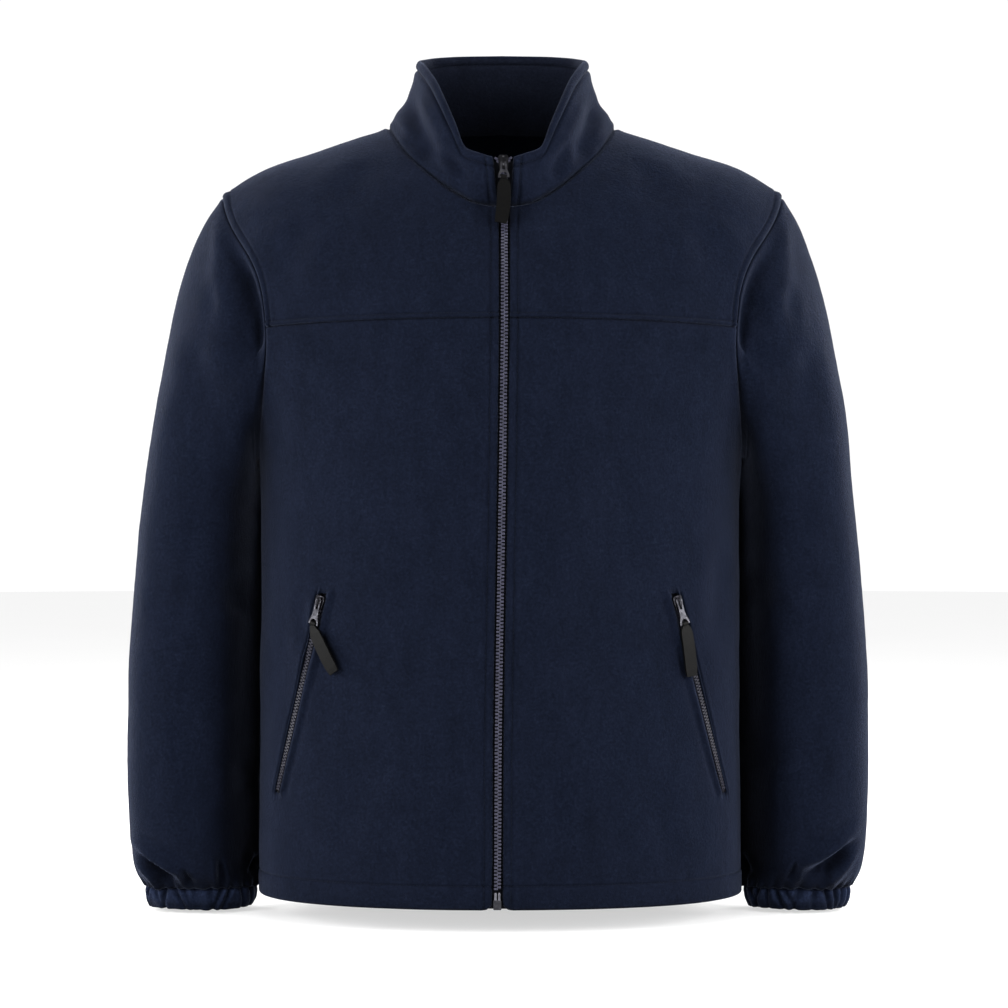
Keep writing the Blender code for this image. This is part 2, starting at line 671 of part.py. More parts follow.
def frames_of(stations):
    frames = []
    for n, (o, depth) in enumerate(stations):
        lo = stations[max(n - 1, 0)][0]
        hi = stations[min(n + 1, len(stations) - 1)][0]
        up = (hi - lo).normalized()
        out = Vector((1, 0, 0)).cross(up).normalized()
        out = out if out.y < 0 else -out
        across = up.cross(out).normalized()
        across = across if across.x > 0 else -across
        frames.append((o, across, out))
    return frames


path = zip_path()
path_frames = frames_of(path)
behind = [d + (0.0016 if d == COLLAR_WALL else 0.0004) for _, d in path]
strip("front_zip_chain", path_frames[2:], -CHAIN_W / 2, CHAIN_W / 2,
      lambda n: -behind[n + 2] + 0.0003, lambda n: CHAIN_PROUD, TEETH)
for side, sign in (("left", -1), ("right", 1)):
    a0, a1 = sorted((sign * 0.0002, sign * TAPE_W))
    strip("front_zip_tape_" + side, path_frames[2:], a0, a1,
          lambda n: -behind[n + 2] - TAPE_T - 0.0004,
          lambda n: -behind[n + 2] - 0.0004, TAPE)
strip("front_zip_box", path_frames[:2], -0.0042, 0.0042, -0.0035, 0.0009, METAL)


# ------------------------------------------------- sliders, pull tabs, straps
PLATE = dict(cols=("v", "half"), rows=(   # slider plate's outline, v up the zip
    (0.00, 3.4), (0.08, 3.9), (0.62, 4.5), (0.88, 4.5), (1.00, 3.4)))
PLATE_LOW, PLATE_TOP = 0.0008, 0.0026
BRIDGE_W, BRIDGE_GAP, BRIDGE_BAR = 0.0017, 0.0024, 0.0013
SLIDERS = dict(cols=("low", "leg_low", "leg_high", "high"), rows=dict(
    front=(-0.0050, -0.0016, 0.0046, 0.0072),    # from the pull's axis, up the zip
    pocket=(-0.0082, -0.0046, 0.0015, 0.0038)))
AXIS_OUT = PLATE_TOP + 0.0012
TAB_T = 0.0013


def local(o, across, up, out):
    o = swayed(o)
    return Matrix((
        (across.x, up.x, out.x, o.x), (across.y, up.y, out.y, o.y),
        (across.z, up.z, out.z, o.z), (0, 0, 0, 1)))


def slider(name, matrix, kind):
    low, leg_low, leg_high, high = SLIDERS["rows"][kind]
    outline = [(h / 1000, low + (high - low) * v) for v, h in PLATE["rows"]]
    outline += [(-h / 1000, low + (high - low) * v)
                for v, h in reversed(PLATE["rows"])]
    plate = prism(name, outline, None, PLATE_LOW, PLATE_TOP, METAL, matrix)
    foot, top, t = PLATE_TOP - 0.0004, PLATE_TOP + BRIDGE_GAP, BRIDGE_BAR
    outer = [(leg_low - t, foot), (leg_low - t, top - 0.0004),
             (leg_low + 0.0004, top + t), (leg_high - 0.0004, top + t),
             (leg_high + t, top - 0.0004), (leg_high + t, foot)]
    inner = [(leg_high, foot), (leg_high, top - 0.0006), (leg_high - 0.0008, top),
             (leg_low + 0.0008, top), (leg_low, top - 0.0006), (leg_low, foot)]
    bridge = prism(name + "_bridge", outer + inner, None,
                   -BRIDGE_W / 2, BRIDGE_W / 2, METAL, matrix, plane="bc")
    return join(plate, bridge)


TAB = dict(   # pull tab, mm below its axis: half widths outside
    cols=("b", "half"), rows=((0.75, 2.5), (-1.0, 2.8), (-8.2, 2.6), (-12.2, 2.7),
                              (-16.0, 3.4), (-19.2, 4.6), (-22.4, 5.3)))
SHORT_TAB = dict(
    cols=("b", "half"), rows=((0.75, 2.5), (-1.0, 2.8), (-4.0, 2.9), (-7.4, 3.4),
                              (-9.4, 4.4), (-11.5, 4.9), (-13.6, 5.0)))


def pull_tab(name, matrix, data, window_end, eye_top, eye_floor):
    rows = data["rows"]
    outline = [(h / 1000, b / 1000) for b, h in rows]
    outline += [(-h / 1000, b / 1000) for b, h in reversed(rows)]
    blade = prism(name, outline, None, -TAB_T / 2, TAB_T / 2, METAL, matrix)
    slot = [(-1.35, -0.75), (1.35, -0.75), (1.35, window_end + 1.0),
            (0.7, window_end), (-0.7, window_end), (-1.35, window_end + 1.0)]
    eye = [(-3.4, eye_floor), (3.4, eye_floor)]
    r = min(3.4, eye_top - eye_floor - 0.3)
    eye += [(3.4 * math.cos(math.radians(d)),
             eye_top - (1 - math.sin(math.radians(d))) * r) for d in range(0, 181, 30)]
    for n, shape in enumerate((slot, eye)):
        points = [(x / 1000, y / 1000) for x, y in shape]
        cutter = prism(f"{name}_cut{n}", points, None, -0.003, 0.003, METAL, matrix)
        cutter.hide_render = True
        cutter.display_type = "WIRE"
        b = blade.modifiers.new(f"cut{n}", "BOOLEAN")
        b.operation = "DIFFERENCE"
        b.object = cutter
    return blade


def pull_strap(name, matrix, bar, line):
    """A folded cord strap: a loop round the eye's bar, then a flat blade.
    line: rows of (b, sideways, half width, out) in mm below the axis."""
    hub = bar / 1000
    ring = prism(name, arc(hub, 0, 0.0022, 0, 330, 11),
                 arc(hub, 0, 0.0011, 0, 330, 11), -0.0027, 0.0027, STRAP,
                 matrix, plane="bc")
    points, faces = [], []
    for n, (b, side, half, out) in enumerate(line):
        before, after = line[max(n - 1, 0)], line[min(n + 1, len(line) - 1)]
        way = Vector((after[1] - before[1], after[0] - before[0], 0)).normalized()
        across = Vector((-way.y, way.x, 0))
        mid = Vector((side, b, out)) / 1000
        t = 0.0010 if 0 < n < len(line) - 1 else 0.0008
        for a, c in ((-half, -t), (half, -t), (half, t), (-half, t)):
            points.append(mid + across * (a / 1000) + Vector((0, 0, c)))
    for n in range(len(line) - 1):
        for j in range(4):
            k = (j + 1) % 4
            faces.append((4 * n + j, 4 * n + k, 4 * n + 4 + k, 4 * n + 4 + j))
    e = 4 * (len(line) - 1)
    faces += [(3, 2, 1, 0), (e, e + 1, e + 2, e + 3)]
    blade = mesh_object(name + "_blade", points, faces, STRAP, matrix=matrix)
    return join(ring, blade)


def zip_pull(prefix, matrix, tab_data, window_end, eye_top, eye_floor, line):
    slider(prefix + "_slider", matrix, prefix.split("_")[0])
    hinge = matrix @ Matrix.Translation((0, 0, AXIS_OUT))
    empty = bpy.data.objects.new(prefix + "_pull_axis", None)
    bpy.context.scene.collection.objects.link(empty)
    empty.matrix_world = hinge
    pieces = [pull_tab(prefix + "_pull_tab", hinge, tab_data, window_end,
                       eye_top, eye_floor),
              pull_strap(prefix + "_pull_strap", hinge, eye_floor - 0.65, line)]
    bpy.context.view_layer.update()
    for piece in pieces:
        piece.parent = empty
        piece.matrix_parent_inverse = empty.matrix_world.inverted()


# front slider, closed to the top of the collar
top_frames = [f for f in path_frames]
o, across, out = top_frames[-1]
o_low = top_frames[-2][0]
up = (o - o_low).normalized()
main_origin = o - up * 0.0035
main = local(main_origin, across, up, out)
MAIN_STRAP = (   # b, sideways, half width, out (mm)
    (-14.6, 0.0, 2.7, 0.0), (-17.5, 0.0, 4.6, 0.0), (-20.5, 0.0, 5.9, 0.3),
    (-30.0, -0.3, 6.1, 0.9), (-40.0, -1.2, 6.1, 1.0), (-48.0, -2.6, 5.8, 0.6),
    (-54.0, -4.0, 5.2, 0.2))
zip_pull("front_zip", main, SHORT_TAB, -6.6, -8.6, -12.3, MAIN_STRAP)


# ---------------------------------------------------------- the pocket zips
def pocket_frames(sign, stations):
    frames = []
    side = "left" if sign < 0 else "right"
    for v in stations:
        x, z = POCKET_T(side, v), POCKET_T("z", v)
        o = surface(sign * x, z)
        ahead = surface(sign * POCKET_T(side, v - 0.02 if v > 0.5 else v + 0.02),
                        POCKET_T("z", v - 0.02 if v > 0.5 else v + 0.02))
        up = (ahead - o if v > 0.5 else o - ahead).normalized()
        n = outward(sign * x, z)
        out = (n - up * n.dot(up)).normalized()
        across = up.cross(out).normalized()
        frames.append((o, across, out, up))
    return frames


STATIONS = tuple(i / 6 for i in range(7))
POCKET_STRAPS = {   # b, sideways, half width, out (mm); each swings its own way
    "left": ((-23.4, 0.0, 2.7, 0.0), (-26.4, 1.2, 3.3, 0.0), (-29.8, 4.6, 5.2, 0.4),
             (-37.0, 12.0, 5.8, 0.8), (-46.0, 21.4, 5.8, 0.8), (-53.0, 29.2, 5.6, 0.5),
             (-56.4, 33.2, 4.8, 0.2)),
    "right": ((-23.4, 0.0, 2.7, 0.0), (-26.4, -0.2, 4.6, 0.0), (-30.0, -0.7, 5.7, 0.4),
              (-40.0, -2.2, 6.0, 0.9), (-52.0, -4.0, 6.0, 0.9), (-63.0, -5.8, 5.9, 0.5),
              (-68.5, -6.8, 5.0, 0.2))}
for side, sign in (("left", -1), ("right", 1)):
    frames = pocket_frames(sign, STATIONS)
    plain = [f[:3] for f in frames]
    ends = []
    for f, push in ((frames[0], 0.0035), (frames[-1], -0.0035)):
        ends.append((f[0] + f[3] * push, f[1], f[2]))
    longer = [ends[0]] + plain[1:-1] + [ends[1]]
    prefix = "pocket_zip_" + side
    cutter = strip(prefix + "_slit", longer, -0.0046, 0.0046, -0.0062, 0.0060, FLEECE)
    cutter.hide_render = True
    cutter.display_type = "WIRE"
    panel = bpy.data.objects["front_" + side]
    b = panel.modifiers.new("slit", "BOOLEAN")
    b.operation = "DIFFERENCE"
    b.object = cutter
    strip(prefix + "_chain", plain, -0.0030, 0.0030, -0.0031, 0.0004, TEETH)
    tape_ends = [(f[0] + f[3] * push, f[1], f[2])
                 for f, push in ((frames[0], 0.008), (frames[-1], -0.008))]
    strip(prefix + "_tape", [tape_ends[0]] + plain[1:-1] + [tape_ends[1]],
          -0.0085, 0.0085, -0.0047, -0.0039, TAPE)
    o, across, out, up = frames[0]
    m = local(o - up * 0.0012, across, up, out)
    zip_pull(prefix, m, TAB, -8.6, -17.4, -21.1, POCKET_STRAPS[side])
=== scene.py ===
"""Looks of the fleece zip jacket: thin cloth shells on the solids' own form,
with seams, stitches, creases, zip teeth, metal and straps. Metres, +Z up."""
import math

import bpy
import numpy as np
from mathutils import Matrix, Vector, kdtree, noise


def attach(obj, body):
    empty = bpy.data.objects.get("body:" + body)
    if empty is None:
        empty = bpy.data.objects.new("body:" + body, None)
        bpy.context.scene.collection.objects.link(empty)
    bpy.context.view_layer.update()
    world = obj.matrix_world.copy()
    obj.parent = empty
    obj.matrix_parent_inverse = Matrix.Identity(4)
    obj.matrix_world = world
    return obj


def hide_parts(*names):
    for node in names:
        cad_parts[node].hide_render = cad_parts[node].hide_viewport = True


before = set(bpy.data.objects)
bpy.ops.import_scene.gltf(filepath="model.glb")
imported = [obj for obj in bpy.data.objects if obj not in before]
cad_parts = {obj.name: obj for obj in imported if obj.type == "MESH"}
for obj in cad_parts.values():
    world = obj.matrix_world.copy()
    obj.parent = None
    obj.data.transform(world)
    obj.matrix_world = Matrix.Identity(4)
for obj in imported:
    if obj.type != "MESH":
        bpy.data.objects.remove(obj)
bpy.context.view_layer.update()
MM = 0.001

# ------------------------------------------------- the form's sizes and tables
WALL, HEM_WALL, COLLAR_WALL, CUFF_WALL = 0.0022, 0.0040, 0.0046, 0.0032
SEAM_GAP = 0.0003
Z_HEM, CHEST_W, CHEST_Z, CHEST_DROP, TORSO_N = -0.697, 0.262, -0.1822, 0.0055, 2.2
FRONT_D, BACK_D, NECK_X, NECK_BACK_Y, EDGE = 0.135, 0.130, 0.104, 0.065, 0.0046
CHAIN_W, CUFF_HEIGHT, QUARTER, COLS, BACK_NECK = 0.0064, 0.0195, 8, 8, 8


def chest_line(x):
    return CHEST_Z - CHEST_DROP * (np.abs(x) / 0.21) ** 2


RIDGE = dict(cols=("x", "z"), rows=(
    (0.000, 0.0365), (0.030, 0.0330), (0.060, 0.0230), (0.085, 0.0105),
    (0.104, 0.0000), (0.132, -0.0095), (0.174, -0.0240), (0.2155, -0.0380),
    (0.2315, -0.0460), (0.243, -0.0530), (0.2525, -0.0600), (0.2562, -0.0635),
    (0.262, -0.0700)))
BODY = dict(cols=("drop", "w", "front", "back"), rows=(
    (0.000, 0.2620, 0.1350, 0.1300), (0.008, 0.2612, 0.1352, 0.1298),
    (0.027, 0.2520, 0.1358, 0.1285), (0.055, 0.2392, 0.1364, 0.1268),
    (0.087, 0.2268, 0.1368, 0.1250), (0.118, 0.2195, 0.1370, 0.1236),
    (0.160, 0.2176, 0.1370, 0.1222), (0.240, 0.2174, 0.1365, 0.1215),
    (0.340, 0.2182, 0.1355, 0.1230), (0.440, 0.2194, 0.1345, 0.1255),
    (0.520, 0.2200, 0.1335, 0.1270)))
UNDERARM_W = 0.2203
FRONT_ARMHOLE = dict(cols=("s", "x", "z"), rows=(
    (0, 0.2562, -0.0635), (1, 0.2525, -0.0765), (2, 0.2465, -0.0900),
    (3, 0.2385, -0.1035), (4, 0.2300, -0.1160), (5, 0.2222, -0.1290),
    (6, 0.2160, -0.1435), (7, 0.2115, -0.1610), (8, 0.2085, chest_line(0.2085)),
    (9, 0.2080, -0.1995), (10, 0.2085, -0.2115), (11, 0.2098, -0.2235),
    (12, 0.2115, -0.2385), (13, 0.2135, -0.2545), (14, 0.2157, -0.2710),
    (15, 0.2178, -0.2875), (16, UNDERARM_W, -0.3020)))
BACK_ARMHOLE = dict(cols=("s", "x", "z"), rows=(
    (0, 0.2562, -0.0635), (1, 0.2552, -0.0765), (2, 0.2530, -0.0905),
    (3, 0.2500, -0.1050), (4, 0.2465, -0.1200), (5, 0.2425, -0.1350),
    (6, 0.2385, -0.1500), (7, 0.2345, -0.1665), (8, 0.2310, chest_line(0.2310)),
    (9, 0.2295, -0.2010), (10, 0.2282, -0.2135), (11, 0.2270, -0.2255),
    (12, 0.2258, -0.2395), (13, 0.2245, -0.2540), (14, 0.2232, -0.2695),
    (15, 0.2215, -0.2860), (16, UNDERARM_W, -0.3020)))
BODY_ROWS = dict(cols=("s", "z"), rows=(
    (16, -0.3020), (17, -0.3450), (18, -0.3950), (19, -0.4480), (20, -0.5020),
    (21, -0.5560), (22, -0.6080), (23, -0.6500), (24, -0.6745),
    (25, -0.6775), (26, Z_HEM)))
NECKLINE = dict(cols=("q", "x", "z"), rows=(
    (0.0, 0.0048, -0.0822), (0.2, 0.0215, -0.0798), (0.4, 0.0440, -0.0680),
    (0.6, 0.0665, -0.0495), (0.8, 0.0880, -0.0270), (1.0, 0.1040, 0.0000)))
ZIP_LINE = dict(cols=("z", "x"), rows=(
    (-0.700, -0.0040), (-0.640, -0.0036), (-0.560, -0.0032), (-0.480, -0.0022),
    (-0.420, -0.0012), (-0.350, 0.0000), (-0.270, 0.0012), (-0.180, 0.0022),
    (-0.080, 0.0022), (-0.030, 0.0008)))
COLLAR_TOP = dict(cols=("c", "x", "y", "z"), rows=(
    (0, 0.0095, -0.1030, -0.0385), (1, 0.0215, -0.1005, -0.0345),
    (2, 0.0332, -0.0950, -0.0292), (3, 0.0428, -0.0850, -0.0070),
    (4, 0.0527, -0.0700, 0.0165), (5, 0.0628, -0.0470, 0.0390),
    (6, 0.0724, -0.0180, 0.0555), (7, 0.0772, 0.0130, 0.0640),
    (8, 0.0695, 0.0450, 0.0705), (9, 0.0420, 0.0665, 0.0755),
    (10, 0.0000, 0.0750, 0.0775)))
COLLAR_BOW = dict(cols=("c", "bow"), rows=(
    (0, 0.0045), (2, 0.0035), (4, 0.0000), (6, -0.0020), (8, -0.0005),
    (10, 0.0020)))
SLEEVE = dict(
    cols=("k", "ox", "oz", "ix", "iz", "yc", "half", "n", "mix"), rows=(
        (0, 0.2562, -0.0635, 0.2195, -0.3020, -0.010, 0.0775, 2.2, 0.00),
        (1, 0.2735, -0.0930, 0.2236, -0.3085, -0.006, 0.0775, 2.2, 0.10),
        (2, 0.2878, -0.1300, 0.2242, -0.3175, 0.000, 0.0780, 2.2, 0.34),
        (3, 0.2988, -0.1680, 0.2242, -0.3290, 0.006, 0.0790, 2.3, 0.62),
        (4, 0.3085, -0.2140, 0.2242, -0.3440, 0.012, 0.0800, 2.4, 0.86),
        (5, 0.3172, -0.2640, 0.2240, -0.3640, 0.018, 0.0805, 2.5, 1.00),
        (6, 0.3240, -0.3200, 0.2238, -0.3920, 0.023, 0.0800, 2.6, 1.00),
        (7, 0.3318, -0.3850, 0.2236, -0.4300, 0.028, 0.0785, 2.6, 1.00),
        (8, 0.3372, -0.4520, 0.2234, -0.4780, 0.031, 0.0760, 2.6, 1.00),
        (9, 0.3408, -0.5200, 0.2232, -0.5320, 0.032, 0.0730, 2.6, 1.00),
        (10, 0.3416, -0.5820, 0.2232, -0.5850, 0.031, 0.0695, 2.6, 1.00),
        (11, 0.3398, -0.6380, 0.2232, -0.6380, 0.028, 0.0640, 2.5, 1.00),
        (12, 0.3345, -0.6790, 0.2236, -0.6770, 0.025, 0.0510, 2.4, 1.00),
        (13, 0.3250, -0.6950, 0.2250, -0.6950, 0.024, 0.0360, 2.3, 1.00)))
CUFF = dict(cols=("k", "drop", "grow"), rows=(
    (0, 0.0, -0.0010), (1, 0.5, -0.0014), (2, 1.0, -0.0042)))
POCKET = dict(cols=("v", "left", "right", "z"), rows=(
    (0, 0.1577, 0.1537, -0.4270), (1, 0.1992, 0.1998, -0.6000)))
SWAY = dict(cols=("z", "x"), rows=(
    (-0.720, -0.0038), (-0.450, -0.0037), (-0.350, -0.0032), (-0.250, -0.0018),
    (-0.120, -0.0014), (-0.060, 0.0), (0.080, 0.0)))


class Table:
    """Smooth, monotone lookup of each named column, for arrays of keys."""

    def __init__(self, data):
        rows = sorted(data["rows"])
        self.k = np.array([row[0] for row in rows], float)
        self.columns = {}
        for i, name in enumerate(data["cols"][1:], 1):
            v = np.array([row[i] for row in rows], float)
            h = np.diff(self.k)
            step = np.diff(v) / h
            m = np.concatenate([[step[0]], np.zeros(len(v) - 2), [step[-1]]])
            for j in range(1, len(v) - 1):
                if step[j - 1] * step[j] > 0:
                    a, b = h[j], h[j - 1]
                    m[j] = 3 * (a + b) / ((2 * a + b) / step[j - 1]
                                          + (a + 2 * b) / step[j])
            self.columns[name] = (v, m)

    def __call__(self, name, at):
        v, m = self.columns[name]
        k = self.k
        at = np.clip(np.asarray(at, float), k[0], k[-1])
        i = np.clip(np.searchsorted(k, at, side="right") - 1, 0, len(k) - 2)
        h = k[i + 1] - k[i]
        t = (at - k[i]) / h
        return ((2 * t ** 3 - 3 * t * t + 1) * v[i] + (t ** 3 - 2 * t * t + t) * h * m[i]
                + (3 * t * t - 2 * t ** 3) * v[i + 1] + (t ** 3 - t * t) * h * m[i + 1])


RIDGE_T, BODY_T = Table(RIDGE), Table(BODY)
ARM_T = {"front": Table(FRONT_ARMHOLE), "back": Table(BACK_ARMHOLE)}
ROW_T, NECK_T, ZIP_T = Table(BODY_ROWS), Table(NECKLINE), Table(ZIP_LINE)
TOP_T, BOW_T, SLEEVE_T = Table(COLLAR_TOP), Table(COLLAR_BOW), Table(SLEEVE)
CUFF_T, POCKET_T, SWAY_T = Table(CUFF), Table(POCKET), Table(SWAY)


# ------------------------------------------------------- the form's surfaces
def vec(x, y, z):
    return np.stack(np.broadcast_arrays(x, y, z), -1).astype(float)


def plan(x, w, n=TORSO_N):
    return np.maximum(0.0, 1.0 - (np.minimum(np.abs(x), w) / w) ** n) ** (1.0 / n)


def powers(x, side):
    if side == "back":
        return 2.0, 1.8
    f = np.minimum(np.abs(x) / 0.2, 1.0)
    return 1.4 + 0.6 * f, 1.25 + 0.45 * f


def above(x, tau, side):
    depth = (FRONT_D if side == "front" else BACK_D) * plan(x, CHEST_W)
    p, q = powers(x, side)
    y = depth * np.maximum(0.0, 1.0 - np.maximum(tau, 0.0) ** p) ** (1.0 / q)
    z = chest_line(x) + tau * (RIDGE_T("z", np.abs(x)) - chest_line(x))
    return vec(x, -y if side == "front" else y, z)


def tau_at(x, z):
    return (z - chest_line(x)) / (RIDGE_T("z", np.abs(x)) - chest_line(x))


def below(x, z, side):
    drop = np.maximum(0.0, chest_line(x) - z)
    depth = BODY_T(side, drop) * plan(x, BODY_T("w", drop))
    return vec(x, -depth if side == "front" else depth, z)


def surface(x, z, side="front"):
    x, z = np.broadcast_arrays(np.asarray(x, float), np.asarray(z, float))
    return np.where((z >= chest_line(x))[..., None],
                    above(x, np.clip(tau_at(x, z), 0, 1), side), below(x, z, side))


def outward(x, z, side="front", step=0.001):
    dx = surface(x + step, z, side) - surface(x - step, z, side)
    dz = surface(x, z + step, side) - surface(x, z - step, side)
    n = np.cross(dx, dz)
    n /= np.linalg.norm(n, axis=-1, keepdims=True)
    return n * np.sign(n[..., 1:2] * (-1 if side == "front" else 1))


def zip_x(z):
    return ZIP_T("x", z)


def spread(xa, xb, u, w=CHEST_W):
    ta = np.arcsin(np.minimum(1.0, np.maximum(xa, 0.0) / w) ** (TORSO_N / 2))
    tb = np.arcsin(np.minimum(1.0, np.maximum(xb, 0.0) / w) ** (TORSO_N / 2))
    return w * np.sin(ta + (tb - ta) * u) ** (2 / TORSO_N)


def arm_point(sign, s, side):
    s = np.asarray(s, float)
    x, z = ARM_T[side]("x", s), ARM_T[side]("z", s)
    top = above(sign * x, np.where(s <= 0, 1.0, np.clip(tau_at(x, z), 0, 1)), side)
    low = below(sign * x, np.minimum(z, chest_line(x)), side)
    end = vec(sign * BODY_T("w", chest_line(x) - z), 0.0, z)
    return np.where((s < QUARTER)[..., None], top,
                    np.where((s < 2 * QUARTER)[..., None], low, end))


def neck_edge(sign, s):
    s = np.asarray(s, float)
    z_low = CHEST_Z + (NECK_T("z", 0) - CHEST_Z) * (8 - s) / 2.0
    q = np.clip(1.0 - s / 6.0, 0, 1)
    z_up = NECK_T("z", q)
    low = s >= 6
    z = np.where(low, z_low, z_up)
    x = np.where(low, sign * zip_x(z_low) + EDGE,
                 NECK_T("x", q) + sign * zip_x(z_up) * (1 - q) * 0.9)
    return x, z


def yoke_point(sign, s, c):
    s, c = np.broadcast_arrays(np.asarray(s, float), np.asarray(c, float))
    xa, za = neck_edge(sign, s)
    outer = arm_point(sign, s, "front")
    xb = np.abs(outer[..., 0])
    ends = [np.where(s <= 0, 1.0, np.where(s >= 8, 0.0, np.clip(tau_at(x, z), 0, 1)))
            for x, z in ((xa, za), (xb, outer[..., 2]))]
    u = c / COLS
    x = spread(xa, xb, u)
    return above(sign * x, ends[0] + (ends[1] - ends[0]) * u, "front")


def back_neck_x(c):
    return -NECK_X * np.cos(np.pi * c / BACK_NECK)


def back_neck_tau(x):
    ax = np.minimum(np.abs(x), NECK_X)
    y = NECK_BACK_Y * plan(ax, NECK_X)
    p, q = powers(x, "back")
    return (1 - (y / (BACK_D * plan(ax, CHEST_W))) ** q) ** (1 / p)


def back_point(s, c):
    s, c = np.broadcast_arrays(np.asarray(s, float), np.asarray(c, float))
    total = 2 * COLS + BACK_NECK
    side = np.where(c < total / 2, -1.0, 1.0)
    z_row = ROW_T("z", s)
    outer = arm_point(1, np.minimum(s, 16), "back")
    zo = np.where(s <= 16, outer[..., 2], z_row)
    xo = np.where(s <= 16, outer[..., 0], BODY_T("w", chest_line(0.218) - z_row))
    w = np.where(s <= 8, CHEST_W, np.maximum(
        xo, BODY_T("w", np.maximum(0.0, chest_line(xo) - zo))))
    even = spread(0.0, xo, np.abs(1 - 2 * c / total), w) * side
    split = np.where(c <= COLS, -spread(NECK_X, xo, np.clip(1 - c / COLS, 0, 1)),
                     np.where(c >= COLS + BACK_NECK,
                              spread(NECK_X, xo, np.clip(
                                  (c - COLS - BACK_NECK) / COLS, 0, 1)),
                              back_neck_x(c - COLS)))
    x = np.where(s < 8, split + (even - split) * np.clip(s, 0, 8) / 8.0, even)
    tb = np.where(s <= 0, 1.0, np.clip(tau_at(xo, zo), 0, 1))
    tau = np.where(s >= 8, 0.0, tb * np.where(np.abs(x) < NECK_X, back_neck_tau(x), 1.0))
    z = np.where(s <= 16, zo + (chest_line(x) - chest_line(xo))
                 * (1 - (np.clip(s, 8, 16) - 8) / 8.0), z_row)
    p = np.where((s <= 8)[..., None], above(x, tau, "back"), below(x, z, "back"))
    edge = (c <= 0) | (c >= total)
    rim = np.where((s <= 16)[..., None], outer, vec(xo, 0.0, z_row))
    rim = rim * vec(side, 1.0, 1.0)
    return np.where(edge[..., None], rim, p)


def neck_seam(c):
    c = np.asarray(c, float)
    front = (c <= 6) | (c >= 14)
    sign = np.where(c <= 10, -1.0, 1.0)
    half = np.where(c <= 10, c, 20 - c)
    x, z = neck_edge(sign, np.clip(6 - half, 0, 6))
    f = above(sign * x, np.where(half >= 6, 1.0, np.clip(tau_at(x, z), 0, 1)), "front")
    xb = back_neck_x(np.clip(c - 6, 0, 8))
    return np.where(front[..., None], f, above(xb, back_neck_tau(xb), "back"))


def collar_point(c, h):
    c, h = np.broadcast_arrays(np.asarray(c, float), np.asarray(h, float))
    sign = np.where(c <= 10, -1.0, 1.0)
    half = np.where(c <= 10, c, 20 - c)
    base = neck_seam(c)
    top = vec(sign * TOP_T("x", half) + zip_x(-0.04) * (1 - half / 10.0),
              TOP_T("y", half), TOP_T("z", half))
    out = vec(base[..., 0] + top[..., 0], base[..., 1] + top[..., 1] + 0.02, 0.0)
    out /= np.linalg.norm(out, axis=-1, keepdims=True)
    bow = (BOW_T("bow", half) * np.sin(np.pi * h ** 0.8))[..., None]
    return base + (top - base) * h[..., None] + out * bow


def arm_loop(a):
    a = np.mod(a, 4 * QUARTER)
    f = arm_point(1, np.minimum(a, 16), "front")
    b = arm_point(1, np.minimum(4 * QUARTER - a, 16), "back")
    return np.where((a <= 2 * QUARTER)[..., None], f, b)


def sleeve_point(sign, k, a):
    k, a = np.broadcast_arrays(np.asarray(k, float), np.asarray(a, float))
    t = SLEEVE_T
    zero = np.zeros_like(k)
    o, i = vec(t("ox", k), zero, t("oz", k)), vec(t("ix", k), zero, t("iz", k))
    o0 = np.array([t("ox", 0), 0, t("oz", 0)], float)
    i0 = np.array([t("ix", 0), 0, t("iz", 0)], float)
    loop = arm_loop(a)
    axis = i0 - o0
    flat = loop * np.array([1, 0, 1])
    h = ((flat - o0) @ axis / (axis @ axis))[..., None]
    shift = o - o0 + (i - i0 - (o - o0)) * h
    from_loop = loop + shift + vec(zero, t("yc", k) - t("yc", 0), zero)
    angle, n = np.pi * a / (2 * QUARTER), t("n", k)
    ca = np.sign(np.cos(angle)) * np.abs(np.cos(angle)) ** (2 / n)
    sa = np.sign(np.sin(angle)) * np.abs(np.sin(angle)) ** (2 / n)
    ring = (o + i) / 2 + (o - i) / 2 * ca[..., None]
    ring[..., 1] = t("yc", k) - t("half", k) * sa
    p = from_loop + (ring - from_loop) * t("mix", k)[..., None]
    p = np.where((k <= 0)[..., None], loop, p)
    return p * np.array([sign, 1, 1])


def cuff_point(sign, k, a):
    k, a = np.broadcast_arrays(np.asarray(k, float), np.asarray(a, float))
    ring = sleeve_point(sign, np.full_like(k, 13), a)
    centre = vec(sign * (SLEEVE_T("ox", 13) + SLEEVE_T("ix", 13)) / 2,
                 SLEEVE_T("yc", 13), ring[..., 2])
    out = ring - centre
    out /= np.linalg.norm(out, axis=-1, keepdims=True)
    p = ring + out * CUFF_T("grow", k)[..., None]
    p[..., 2] -= SEAM_GAP + CUFF_HEIGHT * CUFF_T("drop", k)
    return p


def swayed(p):
    p = np.array(p, float)
    p[..., 0] += SWAY_T("x", p[..., 2]) * np.minimum(1.0, (p[..., 0] / 0.33) ** 2)
    return p
# ==== form ends


# ------------------------------------------------------------ helpers for grids
def bell(d, w):
    return np.exp(-(d / w) ** 2)


def smooth(t):
    t = np.clip(t, 0.0, 1.0)
    return t * t * (3 - 2 * t)


def lengths(p, axis):
    """Distance along each grid line from its first point."""
    step = np.linalg.norm(np.diff(p, axis=axis), axis=-1)
    total = np.cumsum(step, axis=axis)
    pad = [(0, 0), (0, 0)]
    pad[axis] = (1, 0)
    return np.pad(total, pad)


NEAR = np.array([0, .35, .8, 1.3, 1.9, 2.6, 3.4, 4.1, 4.6, 5.1, 5.8, 6.8, 8.0, 8.8,
                 9.4, 10.2, 11.0, 11.7, 12.3, 13.2, 14.6]) * MM
CLOSE = np.array([0, .4, 1.0, 1.8, 2.8, 4.0, 5.6]) * MM


